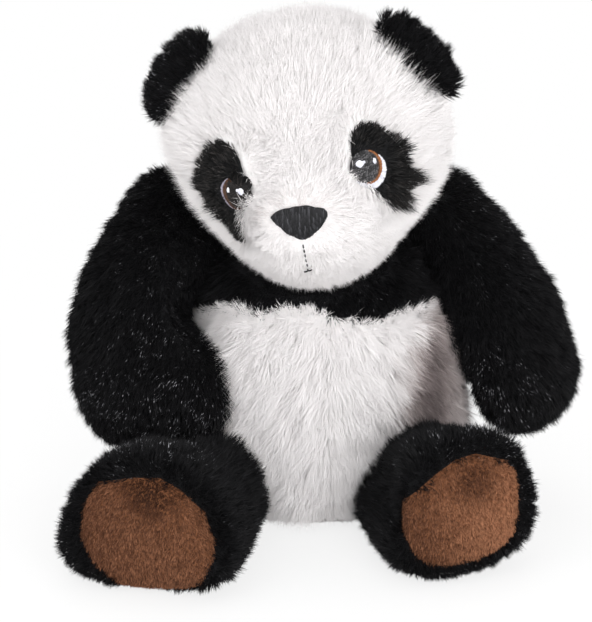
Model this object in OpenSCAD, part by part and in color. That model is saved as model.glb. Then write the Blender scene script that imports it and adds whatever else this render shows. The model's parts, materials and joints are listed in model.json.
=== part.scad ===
// A seated plush panda. It faces -Y, +Z is up and its seat rests on z = 0. Sizes are millimetres.
// Each limb ends in a round root that turns in a socket of the body.

/* [Body] */
// Width of the body at the belly
body_w = 119; // [110:1:128]
// Depth of the body at the belly
body_d = 104; // [96:1:112]
// Height of the body's dome, before the head is seated in it
body_h = 136; // [128:1:144]
// Height of the widest ring of the belly
belly_z = 46; // [38:1:54]
// Width of the flat seat
seat_w = 92; // [80:1:102]
// Height of the seam between the black yoke and the white belly
yoke_z = 92; // [84:1:100]

/* [Head] */
// Diameter of the head
head_d = 112; // [104:1:120]
// Depth by which the head settles into the body
head_sink = 35; // [30:1:40]
// Distance of the head's middle in front of the body's middle
head_forward = 26; // [20:1:30]
// Shift of the head towards the right arm
head_shift = 4; // [0:0.5:6]
// Forward lean of the neck, degrees
neck_lean = 24; // [16:1:30]
// Downward tip of the face, degrees
head_pitch = 2; // [-4:1:8]
// Sideways tilt of the head, degrees
head_roll = 7; // [0:1:12]
// Turn of the face towards the right arm, degrees
head_yaw = 6; // [0:1:14]
// Diameter of the sewn ring round the neck
neck_d = 44; // [36:1:50]

/* [Face] */
// Distance that the muzzle stands out of the head
muzzle_reach = 9; // [5:0.5:12]
// Angle from the muzzle's middle to its edge, degrees
muzzle_spread = 46; // [38:1:50]
// Angle of the muzzle's middle below the eyes, degrees
muzzle_drop = 20; // [14:1:24]
// Angle of the right eye from the middle of the face, degrees
right_eye_angle = 22; // [19:1:30]
// Angle of the left eye from the middle of the face, degrees
left_eye_angle = 27.5; // [24:0.5:33]
// Angle of the right eye above the middle of the face, degrees
right_eye_rise = -3; // [-6:0.5:3]
// Angle of the left eye above the middle of the face, degrees
left_eye_rise = 2; // [-3:0.5:5]
// Width of the embroidered eye
eye_w = 19; // [15:0.5:22]
// Height of the embroidered eye
eye_h = 16; // [13:0.5:19]
// Width of the black eye patch
patch_w = 27; // [24:0.5:31]
// Height of the black eye patch
patch_h = 41; // [36:0.5:46]
// Angle by which an eye patch lies outside its eye, degrees
patch_outward = 9; // [5:0.5:13]
// Lean of the right eye patch, its top towards the middle of the face, degrees
right_patch_lean = 6; // [0:1:40]
// Lean of the left eye patch, its top towards the middle of the face, degrees
left_patch_lean = 40; // [15:1:50]
// Thickness of the patch's plush
patch_t = 2.4; // [1.5:0.1:4]
// Thickness of a layer of embroidery thread
thread_t = 0.6; // [0.4:0.1:1]
// Width of the nose
nose_w = 20; // [16:0.5:25]
// Height of the nose
nose_h = 11.5; // [9:0.5:15]
// Distance that the nose stands out of the muzzle
nose_t = 3; // [2:0.25:4]
// Angle of the nose below the eyes, degrees
nose_drop = 11; // [8:0.5:14]
// Length of the line of mouth stitches
mouth_len = 15; // [11:0.5:18]
// Width of the mouth stitches
mouth_w = 1.6; // [1.2:0.1:2.4]

/* [Ears] */
// Width of an ear
ear_w = 42; // [36:1:46]
// Height of an ear above the head
ear_h = 18.5; // [15:0.5:24]
// Height of an ear's straight root
ear_stem = 4; // [2:0.5:6]
// Thickness of an ear
ear_t = 11; // [9:0.5:14]
// Angle of the ears from the top of the head, degrees
ear_angle = 53; // [47:1:59]
// Angle of the ears in front of the head's middle, degrees
ear_forward = 20; // [10:1:26]

/* [Arms] */
// Diameter of the arm's round root
arm_root_d = 44; // [40:1:48]
// Length of an arm from its root to the hand
arm_len = 70; // [64:1:74]
// Width of an arm
arm_w = 62; // [54:1:66]
// Thickness of an arm
arm_t = 42; // [37:1:46]
// Depth of the rounded hand
hand_tip = 23; // [18:1:26]
// Distance of the shoulders below the top of the body's dome
shoulder_drop = 19; // [15:1:23]
// Distance of the shoulders behind the body's middle
shoulder_back = 12; // [8:1:18]
// Diameter of the sewn ring round the arm's root
armhole_d = 17; // [14:0.5:18]
// Outward lean of the right arm, degrees
right_arm_out = 9; // [5:1:14]
// Forward lean of the right arm, degrees
right_arm_forward = 37; // [33:1:42]
// Heading of the right arm's broad side, degrees from straight ahead
right_arm_twist = 50; // [35:1:65]
// Outward bow of the right arm
right_arm_bow = 11; // [8:0.5:15]
// Outward lean of the left arm, degrees
left_arm_out = 27; // [23:1:31]
// Forward lean of the left arm, degrees
left_arm_forward = 16; // [10:1:20]
// Heading of the left arm's broad side, degrees from straight ahead
left_arm_twist = 10; // [0:1:20]
// Outward bow of the left arm
left_arm_bow = 7; // [4:0.5:10]
// Swing of the right arm up from its rest, degrees
right_arm_swing = 22; // [10:1:24]
// Swing of the left arm up from its rest, degrees
left_arm_swing = 55; // [20:1:60]

/* [Legs] */
// Diameter of the leg's round root
leg_root_d = 37; // [32:1:40]
// Length of a leg from its root to the foot
leg_len = 62; // [56:1:68]
// Width of a foot
foot_w = 64; // [56:1:68]
// Height of a foot
foot_h = 55; // [50:1:59]
// Depth of the rounded foot in front of the leg
foot_tip = 15; // [11:0.5:18]
// Share of the foot's depth that is leg, before the sole
sole_start = 0.75; // [0.6:0.05:0.85]
// Distance of the right hip inside the belly's side
right_hip_inset = 17.5; // [14.5:0.5:21.5]
// Distance of the left hip inside the belly's side
left_hip_inset = 26.5; // [22.5:0.5:28.5]
// Distance of the right hip behind the belly's front
right_hip_depth = 4; // [1:0.5:8]
// Distance of the left hip behind the belly's front
left_hip_depth = 12; // [8:0.5:15]
// Outward heading of the right leg, degrees
right_leg_out = 25; // [21:1:30]
// Outward heading of the left leg, degrees
left_leg_out = 20; // [17:1:28]
// Depth by which a leg is pressed flat where it rests
flat_cut = 0.8; // [0.5:0.1:1.2]
// Diameter of the sewn ring round the leg's root
leg_seam_d = 22; // [18:1:26]
// Outward travel of the right leg, degrees
right_leg_spread = 10; // [4:1:12]
// Outward travel of the left leg, degrees
left_leg_spread = 20; // [8:1:24]
// Inward travel of the legs, degrees
leg_draw_in = 3; // [0:0.5:4]

/* [Cover] */
// Thickness of the cover, backing cloth and pressed pile
cover_t = 4; // [3:0.25:5]
// Thickness of a sewn seam's roll
seam_t = 2.4; // [1.6:0.2:3]
// Clearance between pieces that move
move_gap = 0.5; // [0.4:0.05:0.8]
// Clearance between pieces that are sewn or laid together
fit_gap = 0.2; // [0.15:0.05:0.4]

/* [Hidden] */

// Counts of facets
body_sides = 28;
body_rings = 7;
head_sides = 28;
head_rings = 16;
limb_sides = 20;
cap_rings = 4;
limb_rings = 6;
ear_sides = 16;
patch_sides = 18;
inner_step = 2;
socket_sides = 24;
groove_sides = 8;
$fn = 64;

right = -1;
left = 1;
black = [0.06, 0.06, 0.07];
white = [0.95, 0.93, 0.92];
brown = [0.41, 0.24, 0.14];
charcoal = [0.19, 0.18, 0.2];
amber = [0.7, 0.4, 0.17];
fibre = [0.86, 0.87, 0.9];
thread_grey = [0.35, 0.34, 0.35];

// Places that the pieces share
head_r = head_d / 2;
arm_root_r = arm_root_d / 2;
leg_root_r = leg_root_d / 2;
seam_r = seam_t / 2;
shoulder_z = body_h - shoulder_drop;
head_middle = [-head_shift, -head_forward, body_h - head_sink + head_r];
shoulder_rise = head_middle.z - shoulder_z;
shoulder_behind = shoulder_back + head_forward;
shoulder_touch = head_r + arm_root_r + 2 * move_gap;
shoulder_side = sqrt(pow(shoulder_touch, 2) - pow(shoulder_rise, 2) - pow(shoulder_behind, 2));
far = 2 * (body_w + body_d + body_h);

function pose(side, right_value, left_value) = side < 0 ? right_value : left_value;
function shoulder(side) = [head_middle.x + side * shoulder_side, shoulder_back, shoulder_z];
function hip(side) =
    [side * (body_w / 2 - pose(side, right_hip_inset, left_hip_inset)),
     pose(side, right_hip_depth, left_hip_depth) - body_d / 2, leg_root_r - flat_cut];
function unit(v) = v / norm(v);
function ease(t) = t * t * (3 - 2 * t);
function mix(a, b, t) = a + (b - a) * t;
function columns(x, y, z, origin) = [for (i = [0:2]) [x[i], y[i], z[i], origin[i]]];

// A skin of closed rings with a point at each end; the first point is the low end
function skin_points(first, rings, last) = concat([first], [for (ring = rings) each ring], [last]);
function skin_faces(rings, sides) = concat(
    [for (j = [0:sides - 1]) [0, 1 + j, 1 + (j + 1) % sides]],
    [for (i = [0:rings - 2], j = [0:sides - 1])
        let (a = 1 + i * sides + j, b = 1 + i * sides + (j + 1) % sides)
        each [[a, a + sides, b], [b, a + sides, b + sides]]],
    [for (j = [0:sides - 1])
        let (base = 1 + (rings - 1) * sides)
        [base + j, base + sides, base + (j + 1) % sides]]);
module skin(first, rings, last) {
    polyhedron(skin_points(first, rings, last), skin_faces(len(rings), len(rings[0])));
}
function oval(width, depth, middle, sides) =
    [for (j = [0:sides - 1]) middle + [width * cos(360 * j / sides), depth * sin(360 * j / sides), 0]];

// The body: a round-edged seat that swells to the belly under a blunt dome
dome_bluntness = 1;
seat_share = seat_w / body_w;
function body_levels(steps) = concat(
    [for (i = [0:steps - 1])
        let (a = 90 * i / steps)
        [belly_z * (1 - cos(a)), mix(seat_share, 1, sin(a))]],
    [for (i = [0:steps - 1])
        let (a = 90 * i / steps)
        [mix(belly_z, body_h, sin(a)), pow(cos(a), dome_bluntness)]]);
module body_form(inset, sides, steps) {
    levels = body_levels(steps);
    half_w = body_w / 2;
    half_d = body_d / 2;
    rings = [for (level = levels)
        oval(half_w * level[1] - inset, half_d * level[1] - inset, [0, 0, level[0]], sides)];
    skin([0, 0, 0], rings, [0, 0, body_h - inset]);
}
// Solids that are all facets are joined as one skin of triangles
module all_facets() {
    resize([0, 0, 0]) children();
}
module slab(low, high) {
    translate([-far / 2, -far / 2, low]) cube([far, far, high - low]);
}
module half_space(front) {
    translate([-far / 2, front ? -far : 0, -far / 2]) cube([far, far, 2 * far]);
}

// The seats that the head and the limbs press into the body
module sockets() {
    translate(head_middle) sphere(head_r + move_gap, $fn = 2 * socket_sides);
    for (side = [right, left]) {
        translate(shoulder(side)) sphere(arm_root_r + move_gap, $fn = socket_sides);
        translate(hip(side)) sphere(leg_root_r + move_gap, $fn = socket_sides);
        at_arm_seam(side) seam_groove(armhole_d, fit_gap);
        at_leg_seam(side) seam_groove(leg_seam_d, fit_gap);
    }
    at_neck_seam() seam_groove(neck_d, move_gap);
}
module body_shell() {
    difference() {
        body_form(0, body_sides, body_rings);
        body_form(cover_t, body_sides / inner_step, body_rings);
        sockets();
    }
}
module seam_ring(diameter) {
    rotate_extrude() translate([diameter / 2, 0]) circle(seam_r);
}
module seam_groove(diameter, gap) {
    rotate_extrude($fn = socket_sides) translate([diameter / 2, 0]) circle(seam_r + 2 * gap, $fn = groove_sides);
}
// A ring lies on a ball where the ball has the ring's width
function seam_distance(ball_r, ring_d, gap) = sqrt(pow(ball_r + gap + seam_r, 2) - pow(ring_d / 2, 2));
module at_arm_seam(side) {
    inward = seam_distance(arm_root_r, armhole_d, move_gap);
    translate(shoulder(side) - [side * inward, 0, 0]) rotate([0, 90, 0]) children();
}
module at_leg_seam(side) {
    back = seam_distance(leg_root_r, leg_seam_d, move_gap);
    translate(hip(side)) rotate([90, 0, side * pose(side, right_leg_out, left_leg_out)])
        translate([0, 0, -back]) children();
}
module at_neck_seam() {
    below = seam_distance(head_r, neck_d, move_gap);
    translate(head_middle) rotate([neck_lean, 0, 0]) translate([0, 0, -below]) children();
}

module chest_yoke() {
    color(black) all_facets() intersection() {
        body_shell();
        slab(yoke_z, body_h + far);
    }
}
module belly_panel() {
    color(white) all_facets() intersection() {
        body_shell();
        slab(cover_t, yoke_z);
        half_space(true);
    }
}
module back_panel() {
    color(white) all_facets() intersection() {
        body_shell();
        slab(cover_t, yoke_z);
        half_space(false);
    }
}
module seat_panel() {
    color(white) all_facets() difference() {
        intersection() {
            body_form(0, body_sides, body_rings);
            slab(0, cover_t);
        }
        sockets();
    }
}
module body_filling() {
    color(fibre) all_facets() difference() {
        intersection() {
            body_form(cover_t + fit_gap, body_sides / inner_step, body_rings);
            slab(cover_t + fit_gap, body_h);
        }
        sockets();
    }
}
module right_arm_seam() { color(thread_grey) at_arm_seam(right) seam_ring(armhole_d); }
module left_arm_seam() { color(thread_grey) at_arm_seam(left) seam_ring(armhole_d); }
module right_leg_seam() { color(thread_grey) at_leg_seam(right) seam_ring(leg_seam_d); }
module left_leg_seam() { color(thread_grey) at_leg_seam(left) seam_ring(leg_seam_d); }
module neck_seam() { color(thread_grey) at_neck_seam() seam_ring(neck_d); }

// The head: a ball that swells into the muzzle, in its own frame with the eyes level on the horizon
function aim(turn, rise) = [sin(turn) * cos(rise), -cos(turn) * cos(rise), sin(rise)];
muzzle_aim = aim(0, -muzzle_drop);
function muzzle(direction) =
    let (away = acos(min(1, direction * muzzle_aim)) / muzzle_spread)
    away < 1 ? muzzle_reach * pow(1 - away * away, 2) : 0;
function face_point(turn, rise, grow) =
    let (direction = aim(turn, rise))
    direction * (head_r + muzzle(direction) + grow);
module head_form(inset, sides, rings) {
    outline = [for (i = [1:rings - 1])
        [for (j = [0:sides - 1]) face_point(360 * j / sides, -90 + 180 * i / rings, -inset)]];
    skin(face_point(0, -90, -inset), outline, face_point(0, 90, -inset));
}
module at_head() {
    translate(head_middle) rotate([head_pitch, -head_roll, -head_yaw]) children();
}
module head_cover() {
    color(white) difference() {
        at_head() head_form(0, head_sides, head_rings);
        at_head() head_form(cover_t, head_sides / inner_step, head_rings / inner_step);
        translate(head_middle) rotate([neck_lean, 0, 0])
            translate([0, 0, -far]) cylinder(h = far, d = neck_d - 2 * seam_t);
    }
}
module head_filling() {
    color(fibre) at_head()
        head_form(cover_t + fit_gap, head_sides / inner_step, head_rings / inner_step);
}

// A piece laid on the face: an outline round a middle, from one height above the head to another.
// Sizes are [width, height], spot is [turn, rise] and point_share draws the outline to three corners.
patch_shares = [0.45, 0.85, 1];
function on_face(size, spot, lean, share, angle, point_share, grow) =
    let (reach = share * (1 + point_share * cos(3 * (angle + 90))),
         across = size[0] / 2 * reach * cos(angle),
         along = size[1] / 2 * reach * sin(angle),
         x = across * cos(lean) - along * sin(lean),
         y = across * sin(lean) + along * cos(lean),
         degree = 180 / PI / head_r)
    face_point(spot[0] + x * degree / cos(spot[1]), spot[1] + y * degree, grow);
module laid_on(size, spot, lean, low, high, point_share = 0) {
    function ring(share, grow) =
        [for (j = [0:patch_sides - 1])
            on_face(size, spot, lean, share, 360 * j / patch_sides, point_share, grow)];
    below = [for (share = patch_shares) ring(share, low)];
    above = [for (i = [2:-1:0]) ring(patch_shares[i], i == 2 ? mix(low, high, 0.6) : high)];
    at_head() skin(face_point(spot[0], spot[1], low), concat(below, above),
        face_point(spot[0], spot[1], high));
}
patch_low = fit_gap + cover_t / 40;
patch_high = patch_low + patch_t;
function layer_low(layer) = patch_high + layer * (thread_t + fit_gap) + fit_gap;
function eye_spot(side, outward) = [
    side * (pose(side, right_eye_angle, left_eye_angle) + outward),
    pose(side, right_eye_rise, left_eye_rise)
];
module eye_patch(side) {
    color(black) laid_on([patch_w, patch_h], eye_spot(side, patch_outward),
        side * pose(side, right_patch_lean, left_patch_lean), patch_low, patch_high);
}
module eye_layer(side, layer, size, shift) {
    degree = 180 / PI / head_r;
    laid_on(size, eye_spot(side, shift[0] * degree) + [0, shift[1] * degree], 0,
        layer_low(layer), layer_low(layer) + thread_t);
}
iris_size = [eye_w * 0.9, eye_h * 0.97];
pupil_size = [eye_w * 0.74, eye_h * 0.88];
highlight_size = [eye_w * 0.2, eye_h * 0.2];
module eye_white(side) { color(white) eye_layer(side, 0, [eye_w, eye_h], [eye_w * 0.06, 0]); }
module eye_iris(side) { color(amber) eye_layer(side, 1, iris_size, [eye_w * 0.02, 0]); }
module eye_pupil(side) { color(charcoal) eye_layer(side, 2, pupil_size, [-eye_w * 0.05, eye_h * 0.03]); }
module eye_highlights(side) {
    color(white) {
        eye_layer(side, 3, highlight_size, [-eye_w * 0.2, eye_h * 0.12]);
        eye_layer(side, 3, highlight_size / 2, [eye_w * 0.15, eye_h * 0.15]);
    }
}
module right_eye_patch() { eye_patch(right); }
module left_eye_patch() { eye_patch(left); }
module right_eye_white() { eye_white(right); }
module left_eye_white() { eye_white(left); }
module right_eye_iris() { eye_iris(right); }
module left_eye_iris() { eye_iris(left); }
module right_eye_pupil() { eye_pupil(right); }
module left_eye_pupil() { eye_pupil(left); }
module right_eye_highlights() { eye_highlights(right); }
module left_eye_highlights() { eye_highlights(left); }

nose_corners = 0.16;
module nose() {
    color(charcoal) laid_on([nose_w, nose_h], [0, -nose_drop], 0, patch_low, nose_t, nose_corners);
}
module mouth_stitches() {
    degree = 180 / PI / (head_r + muzzle_reach);
    nose_low = nose_drop + nose_h / 2 * (1 + nose_corners) * 180 / PI / head_r;
    line_drop = nose_low + (mouth_len / 2 + mouth_w) * degree;
    cross_drop = nose_low + (mouth_len + 2.5 * mouth_w) * degree * 1.15;
    color(charcoal) {
        laid_on([mouth_w, mouth_len], [0, -line_drop], 0, patch_low, patch_low + 2 * thread_t);
        laid_on([4 * mouth_w, mouth_w], [0, -cross_drop], 0, patch_low, patch_low + 2 * thread_t);
    }
}

// A stuffed limb along +Z from its round root: oval sections that swell to the full size and close
// over the tip. root and section are [width, thickness]; bow bends the middle towards +Y or -Y;
// level keeps the underside of the thickness straight.
module limb(length, root, root_cap, section, tip, bow, level, blunt, inset, sides) {
    function grown(s) = ease(max(0, min(1, s / length)));
    function width(s) = mix(root[0], section[0], grown(s)) / 2;
    function thickness(s) = mix(root[1], section[1], grown(s)) / 2;
    function middle(s) =
        let (along = max(0, min(1, s / length)))
        [bow[0] * sin(180 * along), bow[1] * sin(180 * along) + level * (thickness(s) - root[1] / 2), s];
    stations = concat(
        [for (i = [1:cap_rings])
            [-(root_cap - inset) * cos(90 * i / cap_rings), sin(90 * i / cap_rings)]],
        [for (i = [1:limb_rings - 1]) [length * i / limb_rings, 1]],
        [for (i = [0:cap_rings - 1])
            [length + (tip - inset) * sin(90 * i / cap_rings), pow(cos(90 * i / cap_rings), blunt)]]);
    rings = [for (station = stations)
        let (s = station[0], share = station[1])
        oval((width(s) - inset) * share, (thickness(s) - inset) * share, middle(s), sides)];
    skin(middle(inset - root_cap), rings, middle(length + tip - inset));
}

ear_root_share = 0.86;
module at_ear(side) {
    at_head() rotate([ear_forward, side * ear_angle, 0])
        translate([0, 0, head_r + move_gap + ear_t / 2]) rotate([-ear_forward, 0, 0]) children();
}
module ear(side, front) {
    color(black) at_ear(side) intersection() {
        limb(ear_stem, [ear_w * ear_root_share, ear_t], ear_t / 2, [ear_w, ear_t],
            ear_h - ear_stem - ear_t / 2, [0, 0], 0, 1, 0, ear_sides);
        half_space(front);
    }
}
module right_ear_front() { ear(right, true); }
module right_ear_back() { ear(right, false); }
module left_ear_front() { ear(left, true); }
module left_ear_back() { ear(left, false); }

module at_arm(side) {
    out = pose(side, right_arm_out, left_arm_out);
    forward = pose(side, right_arm_forward, left_arm_forward);
    twist = pose(side, right_arm_twist, left_arm_twist);
    along = [side * sin(out), -cos(out) * sin(forward), -cos(out) * cos(forward)];
    heading = [side * sin(twist), cos(twist), 0];
    broad = unit(heading - along * (heading * along));
    multmatrix(columns(broad, cross(along, broad), along, shoulder(side))) children();
}
module arm_form(side, inset, sides) {
    bow = pose(side, right_arm_bow, left_arm_bow);
    at_arm(side) limb(arm_len, [arm_root_d, arm_root_d], arm_root_r, [arm_w, arm_t], hand_tip,
        [0, side * bow], 0, 1, inset, sides);
}
// The body as it passes an arm or a leg over the limb's travel
travel_steps = 5;
module body_past(middle, turn) {
    translate(middle) rotate(turn) translate(-middle) body_form(-move_gap, body_sides, body_rings);
}
module armhole(side, diameter) {
    translate(shoulder(side)) rotate([0, -side * 90, 0]) cylinder(h = arm_root_d, d = diameter);
}
module arm_cover(side) {
    armhole_bore = armhole_d - 2 * seam_t;
    swing = pose(side, right_arm_swing, left_arm_swing);
    color(black) difference() {
        all_facets() difference() {
            arm_form(side, 0, limb_sides);
            arm_form(side, cover_t, limb_sides / inner_step);
            armhole(side, armhole_bore / 2, $fn = groove_sides);
            for (step = [0:travel_steps])
                body_past(shoulder(side), [swing * step / travel_steps, 0, 0]);
        }
        armhole(side, armhole_bore);
    }
}
module arm_filling(side) {
    color(fibre) arm_form(side, cover_t + fit_gap, limb_sides / inner_step);
}
module right_arm_cover() { arm_cover(right); }
module right_arm_filling() { arm_filling(right); }
module left_arm_cover() { arm_cover(left); }
module left_arm_filling() { arm_filling(left); }

module at_leg(side) {
    out = pose(side, right_leg_out, left_leg_out);
    along = [side * sin(out), -cos(out), 0];
    up = [0, 0, 1];
    multmatrix(columns(cross(up, along), up, along, hip(side))) children();
}
module leg_form(inset, sides) {
    limb(leg_len, [leg_root_d, leg_root_d], leg_root_r, [foot_w, foot_h], foot_tip,
        [0, 0], 1, 0.6, inset, sides);
}
sole_z = leg_len + foot_tip * sole_start;
module leg_shell(side, low, high) {
    spread = pose(side, right_leg_spread, left_leg_spread);
    all_facets() difference() {
        at_leg(side) intersection() {
            difference() {
                leg_form(0, limb_sides);
                leg_form(cover_t, limb_sides / inner_step);
            }
            slab(low, high);
        }
        slab(-far, 0);
        for (step = [0:travel_steps])
            body_past(hip(side), [0, 0, -side * mix(-leg_draw_in, spread, step / travel_steps)]);
    }
}
module leg_cover(side) {
    color(black) difference() {
        leg_shell(side, -far, sole_z);
        at_leg(side) translate([0, 0, -leg_root_d]) cylinder(h = leg_root_d, d = leg_seam_d - 2 * seam_t);
    }
}
module leg_sole(side) { color(brown) leg_shell(side, sole_z, far); }
module leg_filling(side) { color(fibre) at_leg(side) leg_form(cover_t + fit_gap, limb_sides / inner_step); }
module right_leg_cover() { leg_cover(right); }
module right_leg_sole() { leg_sole(right); }
module right_leg_filling() { leg_filling(right); }
module left_leg_cover() { leg_cover(left); }
module left_leg_sole() { leg_sole(left); }
module left_leg_filling() { leg_filling(left); }

chest_yoke();
belly_panel();
back_panel();
seat_panel();
body_filling();
right_arm_seam();
left_arm_seam();
right_leg_seam();
left_leg_seam();
neck_seam();
head_cover();
head_filling();
right_eye_patch();
left_eye_patch();
right_eye_white();
left_eye_white();
right_eye_iris();
left_eye_iris();
right_eye_pupil();
left_eye_pupil();
right_eye_highlights();
left_eye_highlights();
nose();
mouth_stitches();
right_ear_front();
right_ear_back();
left_ear_front();
left_ear_back();
right_arm_cover();
right_arm_filling();
left_arm_cover();
left_arm_filling();
right_leg_cover();
right_leg_sole();
right_leg_filling();
left_leg_cover();
left_leg_sole();
left_leg_filling();
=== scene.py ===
"""A seated plush panda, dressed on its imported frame: stuffed covers, pile, embroidery and suede soles."""
import json
import math

import bmesh
import bpy
import numpy as np
from mathutils import Euler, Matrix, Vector
from mathutils.bvhtree import BVHTree

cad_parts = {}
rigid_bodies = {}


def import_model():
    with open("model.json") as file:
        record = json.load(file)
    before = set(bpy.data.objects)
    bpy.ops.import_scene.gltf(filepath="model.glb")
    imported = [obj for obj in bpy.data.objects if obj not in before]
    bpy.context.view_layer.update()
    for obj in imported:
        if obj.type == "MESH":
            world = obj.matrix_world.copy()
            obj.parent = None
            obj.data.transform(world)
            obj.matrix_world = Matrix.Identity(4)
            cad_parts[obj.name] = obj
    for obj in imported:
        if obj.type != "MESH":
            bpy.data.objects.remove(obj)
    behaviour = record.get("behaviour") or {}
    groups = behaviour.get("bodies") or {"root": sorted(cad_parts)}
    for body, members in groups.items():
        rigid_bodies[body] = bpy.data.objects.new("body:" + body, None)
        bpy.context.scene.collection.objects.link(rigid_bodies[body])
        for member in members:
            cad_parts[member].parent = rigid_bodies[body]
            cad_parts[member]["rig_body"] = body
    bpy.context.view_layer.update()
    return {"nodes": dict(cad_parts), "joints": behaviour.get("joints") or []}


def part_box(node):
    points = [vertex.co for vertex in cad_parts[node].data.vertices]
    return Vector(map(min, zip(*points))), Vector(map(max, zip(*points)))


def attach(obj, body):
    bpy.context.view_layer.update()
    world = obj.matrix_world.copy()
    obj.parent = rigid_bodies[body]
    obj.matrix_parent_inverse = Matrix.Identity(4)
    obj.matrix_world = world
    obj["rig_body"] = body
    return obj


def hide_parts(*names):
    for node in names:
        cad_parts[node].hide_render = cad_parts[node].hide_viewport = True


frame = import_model()

# The body is a bag of plush panels, sewn edge to edge round a fibre filling: a black yoke over the
# shoulders, a white belly and back, and a flat white seat. The head and the limbs press seats into it.
mm = 0.001
scene = bpy.context.scene
scene.view_settings.view_transform = "Standard"
hidden_trim = ("seam", "eye", "nose", "mouth")
joint_place = {joint["name"]: Vector(joint["pos_m"]) for joint in frame["joints"]}


def box_middle(node):
    low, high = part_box(node)
    return (low + high) / 2


def mesh_piece(name, mesh):
    piece = bpy.data.objects.new(name, mesh)
    scene.collection.objects.link(piece)
    return piece


def merged_nodes(name, nodes):
    form = bmesh.new()
    for node in nodes:
        form.from_mesh(frame["nodes"][node].data)
    bmesh.ops.remove_doubles(form, verts=form.verts, dist=0.005 * mm)
    mesh = bpy.data.meshes.new(name)
    form.to_mesh(mesh)
    form.free()
    return mesh_piece(name, mesh)


def settle(piece):
    graph = bpy.context.evaluated_depsgraph_get()
    mesh = bpy.data.meshes.new_from_object(piece.evaluated_get(graph))
    worn = piece.data
    piece.modifiers.clear()
    piece.data = mesh
    bpy.data.meshes.remove(worn)


def read_points(mesh):
    flat = np.empty(len(mesh.vertices) * 3, np.float32)
    mesh.vertices.foreach_get("co", flat)
    return flat.reshape(-1, 3).astype(float)


def write_points(mesh, points):
    mesh.vertices.foreach_set("co", points.astype(np.float32).ravel())
    mesh.update()


def read_normals(mesh):
    flat = np.empty(len(mesh.vertices) * 3, np.float32)
    mesh.vertex_normals.foreach_get("vector", flat)
    return flat.reshape(-1, 3).astype(float)


def store(mesh, name, kind, values):
    attribute = mesh.attributes.new(name, kind, "POINT")
    field = "vector" if kind == "FLOAT_VECTOR" else "value"
    attribute.data.foreach_set(field, np.asarray(values, np.float32).ravel())


def ramp(low, high, values):
    share = np.clip((values - low) / (high - low), 0, 1)
    return share * share * (3 - 2 * share)


def unit_rows(rows):
    return rows / np.maximum(np.linalg.norm(rows, axis=1, keepdims=True), 1e-9)


def tree_of_others(body):
    corners, faces = [], []
    for node, solid in frame["nodes"].items():
        if solid["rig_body"] == body or any(word in node for word in hidden_trim):
            continue
        base = len(corners)
        corners.extend(vertex.co for vertex in solid.data.vertices)
        faces.extend([base + i for i in face.vertices] for face in solid.data.polygons)
    return BVHTree.FromPolygons(corners, faces)


def room_beside(body, points):
    """How far places lie from the other bodies; below zero where they are pressed into one."""
    others = tree_of_others(body)
    deepest_press = 8 * mm
    room = np.empty(len(points))
    for i, point in enumerate(points):
        near, normal, _, distance = others.find_nearest(point)
        pressed = distance < deepest_press and (Vector(point) - near).dot(normal) < 0
        room[i] = -distance if pressed else distance
    return room


def add_finer_faces(piece):
    finer = piece.modifiers.new("finer", "SUBSURF")
    finer.levels = 1
    finer.render_levels = 1


def stuffed_cover(name, nodes, sewn, voxel=4 * mm, swell=2 * mm):
    """An even cloth over the nodes, swollen by its filling and held where sewn() says; swell is the most."""
    piece = merged_nodes(name, nodes)
    even = piece.modifiers.new("even_cloth", "REMESH")
    even.mode = "VOXEL"
    even.voxel_size = voxel
    even.use_smooth_shade = True
    settle(piece)
    cut = read_points(piece.data)
    held = piece.vertex_groups.new(name="sewn")
    for i, weight in enumerate(sewn(cut)):
        if weight > 0.01:
            held.add([i], float(weight), "REPLACE")
    stuffing = piece.modifiers.new("stuffing", "CLOTH")
    cloth = stuffing.settings
    cloth.quality = 5
    cloth.mass = 0.15
    cloth.tension_stiffness = 10
    cloth.compression_stiffness = 10
    cloth.shear_stiffness = 5
    cloth.bending_stiffness = 0.5
    cloth.use_pressure = True
    cloth.uniform_pressure_force = 4
    cloth.effector_weights.gravity = 0
    cloth.vertex_group_mass = "sewn"
    last_moment = 20
    for moment in range(1, last_moment + 1):
        scene.frame_set(moment)
    settle(piece)
    scene.frame_set(1)
    piece.vertex_groups.clear()
    move = read_points(piece.data) - cut
    far = np.linalg.norm(move, axis=1, keepdims=True)
    write_points(piece.data, cut + move * np.minimum(1, swell / np.maximum(far, 1e-9)))
    smooth = piece.modifiers.new("ease", "CORRECTIVE_SMOOTH")
    smooth.factor = 0.5
    smooth.iterations = 2
    smooth.use_only_smooth = True
    add_finer_faces(piece)
    settle(piece)
    return piece


def add_node(tree, kind, settings=None, inputs=None):
    made = tree.nodes.new(kind)
    for name, value in (settings or {}).items():
        setattr(made, name, value)
    for name, value in (inputs or {}).items():
        if isinstance(value, bpy.types.NodeSocket):
            tree.links.new(value, made.inputs[name])
        else:
            made.inputs[name].default_value = value
    return made


def strand_form():
    """One flat strand, 1 high and wide, pointed at both ends; along and across say where a corner lies."""
    mesh = bpy.data.meshes.new("strand")
    corners = [(0, 0, 0), (-0.52, 0.05, 0.45), (0.52, 0.05, 0.45), (0, 0, 0.98)]
    mesh.from_pydata(corners, [], [(1, 2, 0), (3, 2, 1)], False)
    store(mesh, "along", "FLOAT", [0, 0.45, 0.45, 1])
    store(mesh, "across", "FLOAT", [0, -1, 1, 0])
    return mesh_piece("strand", mesh)


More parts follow.
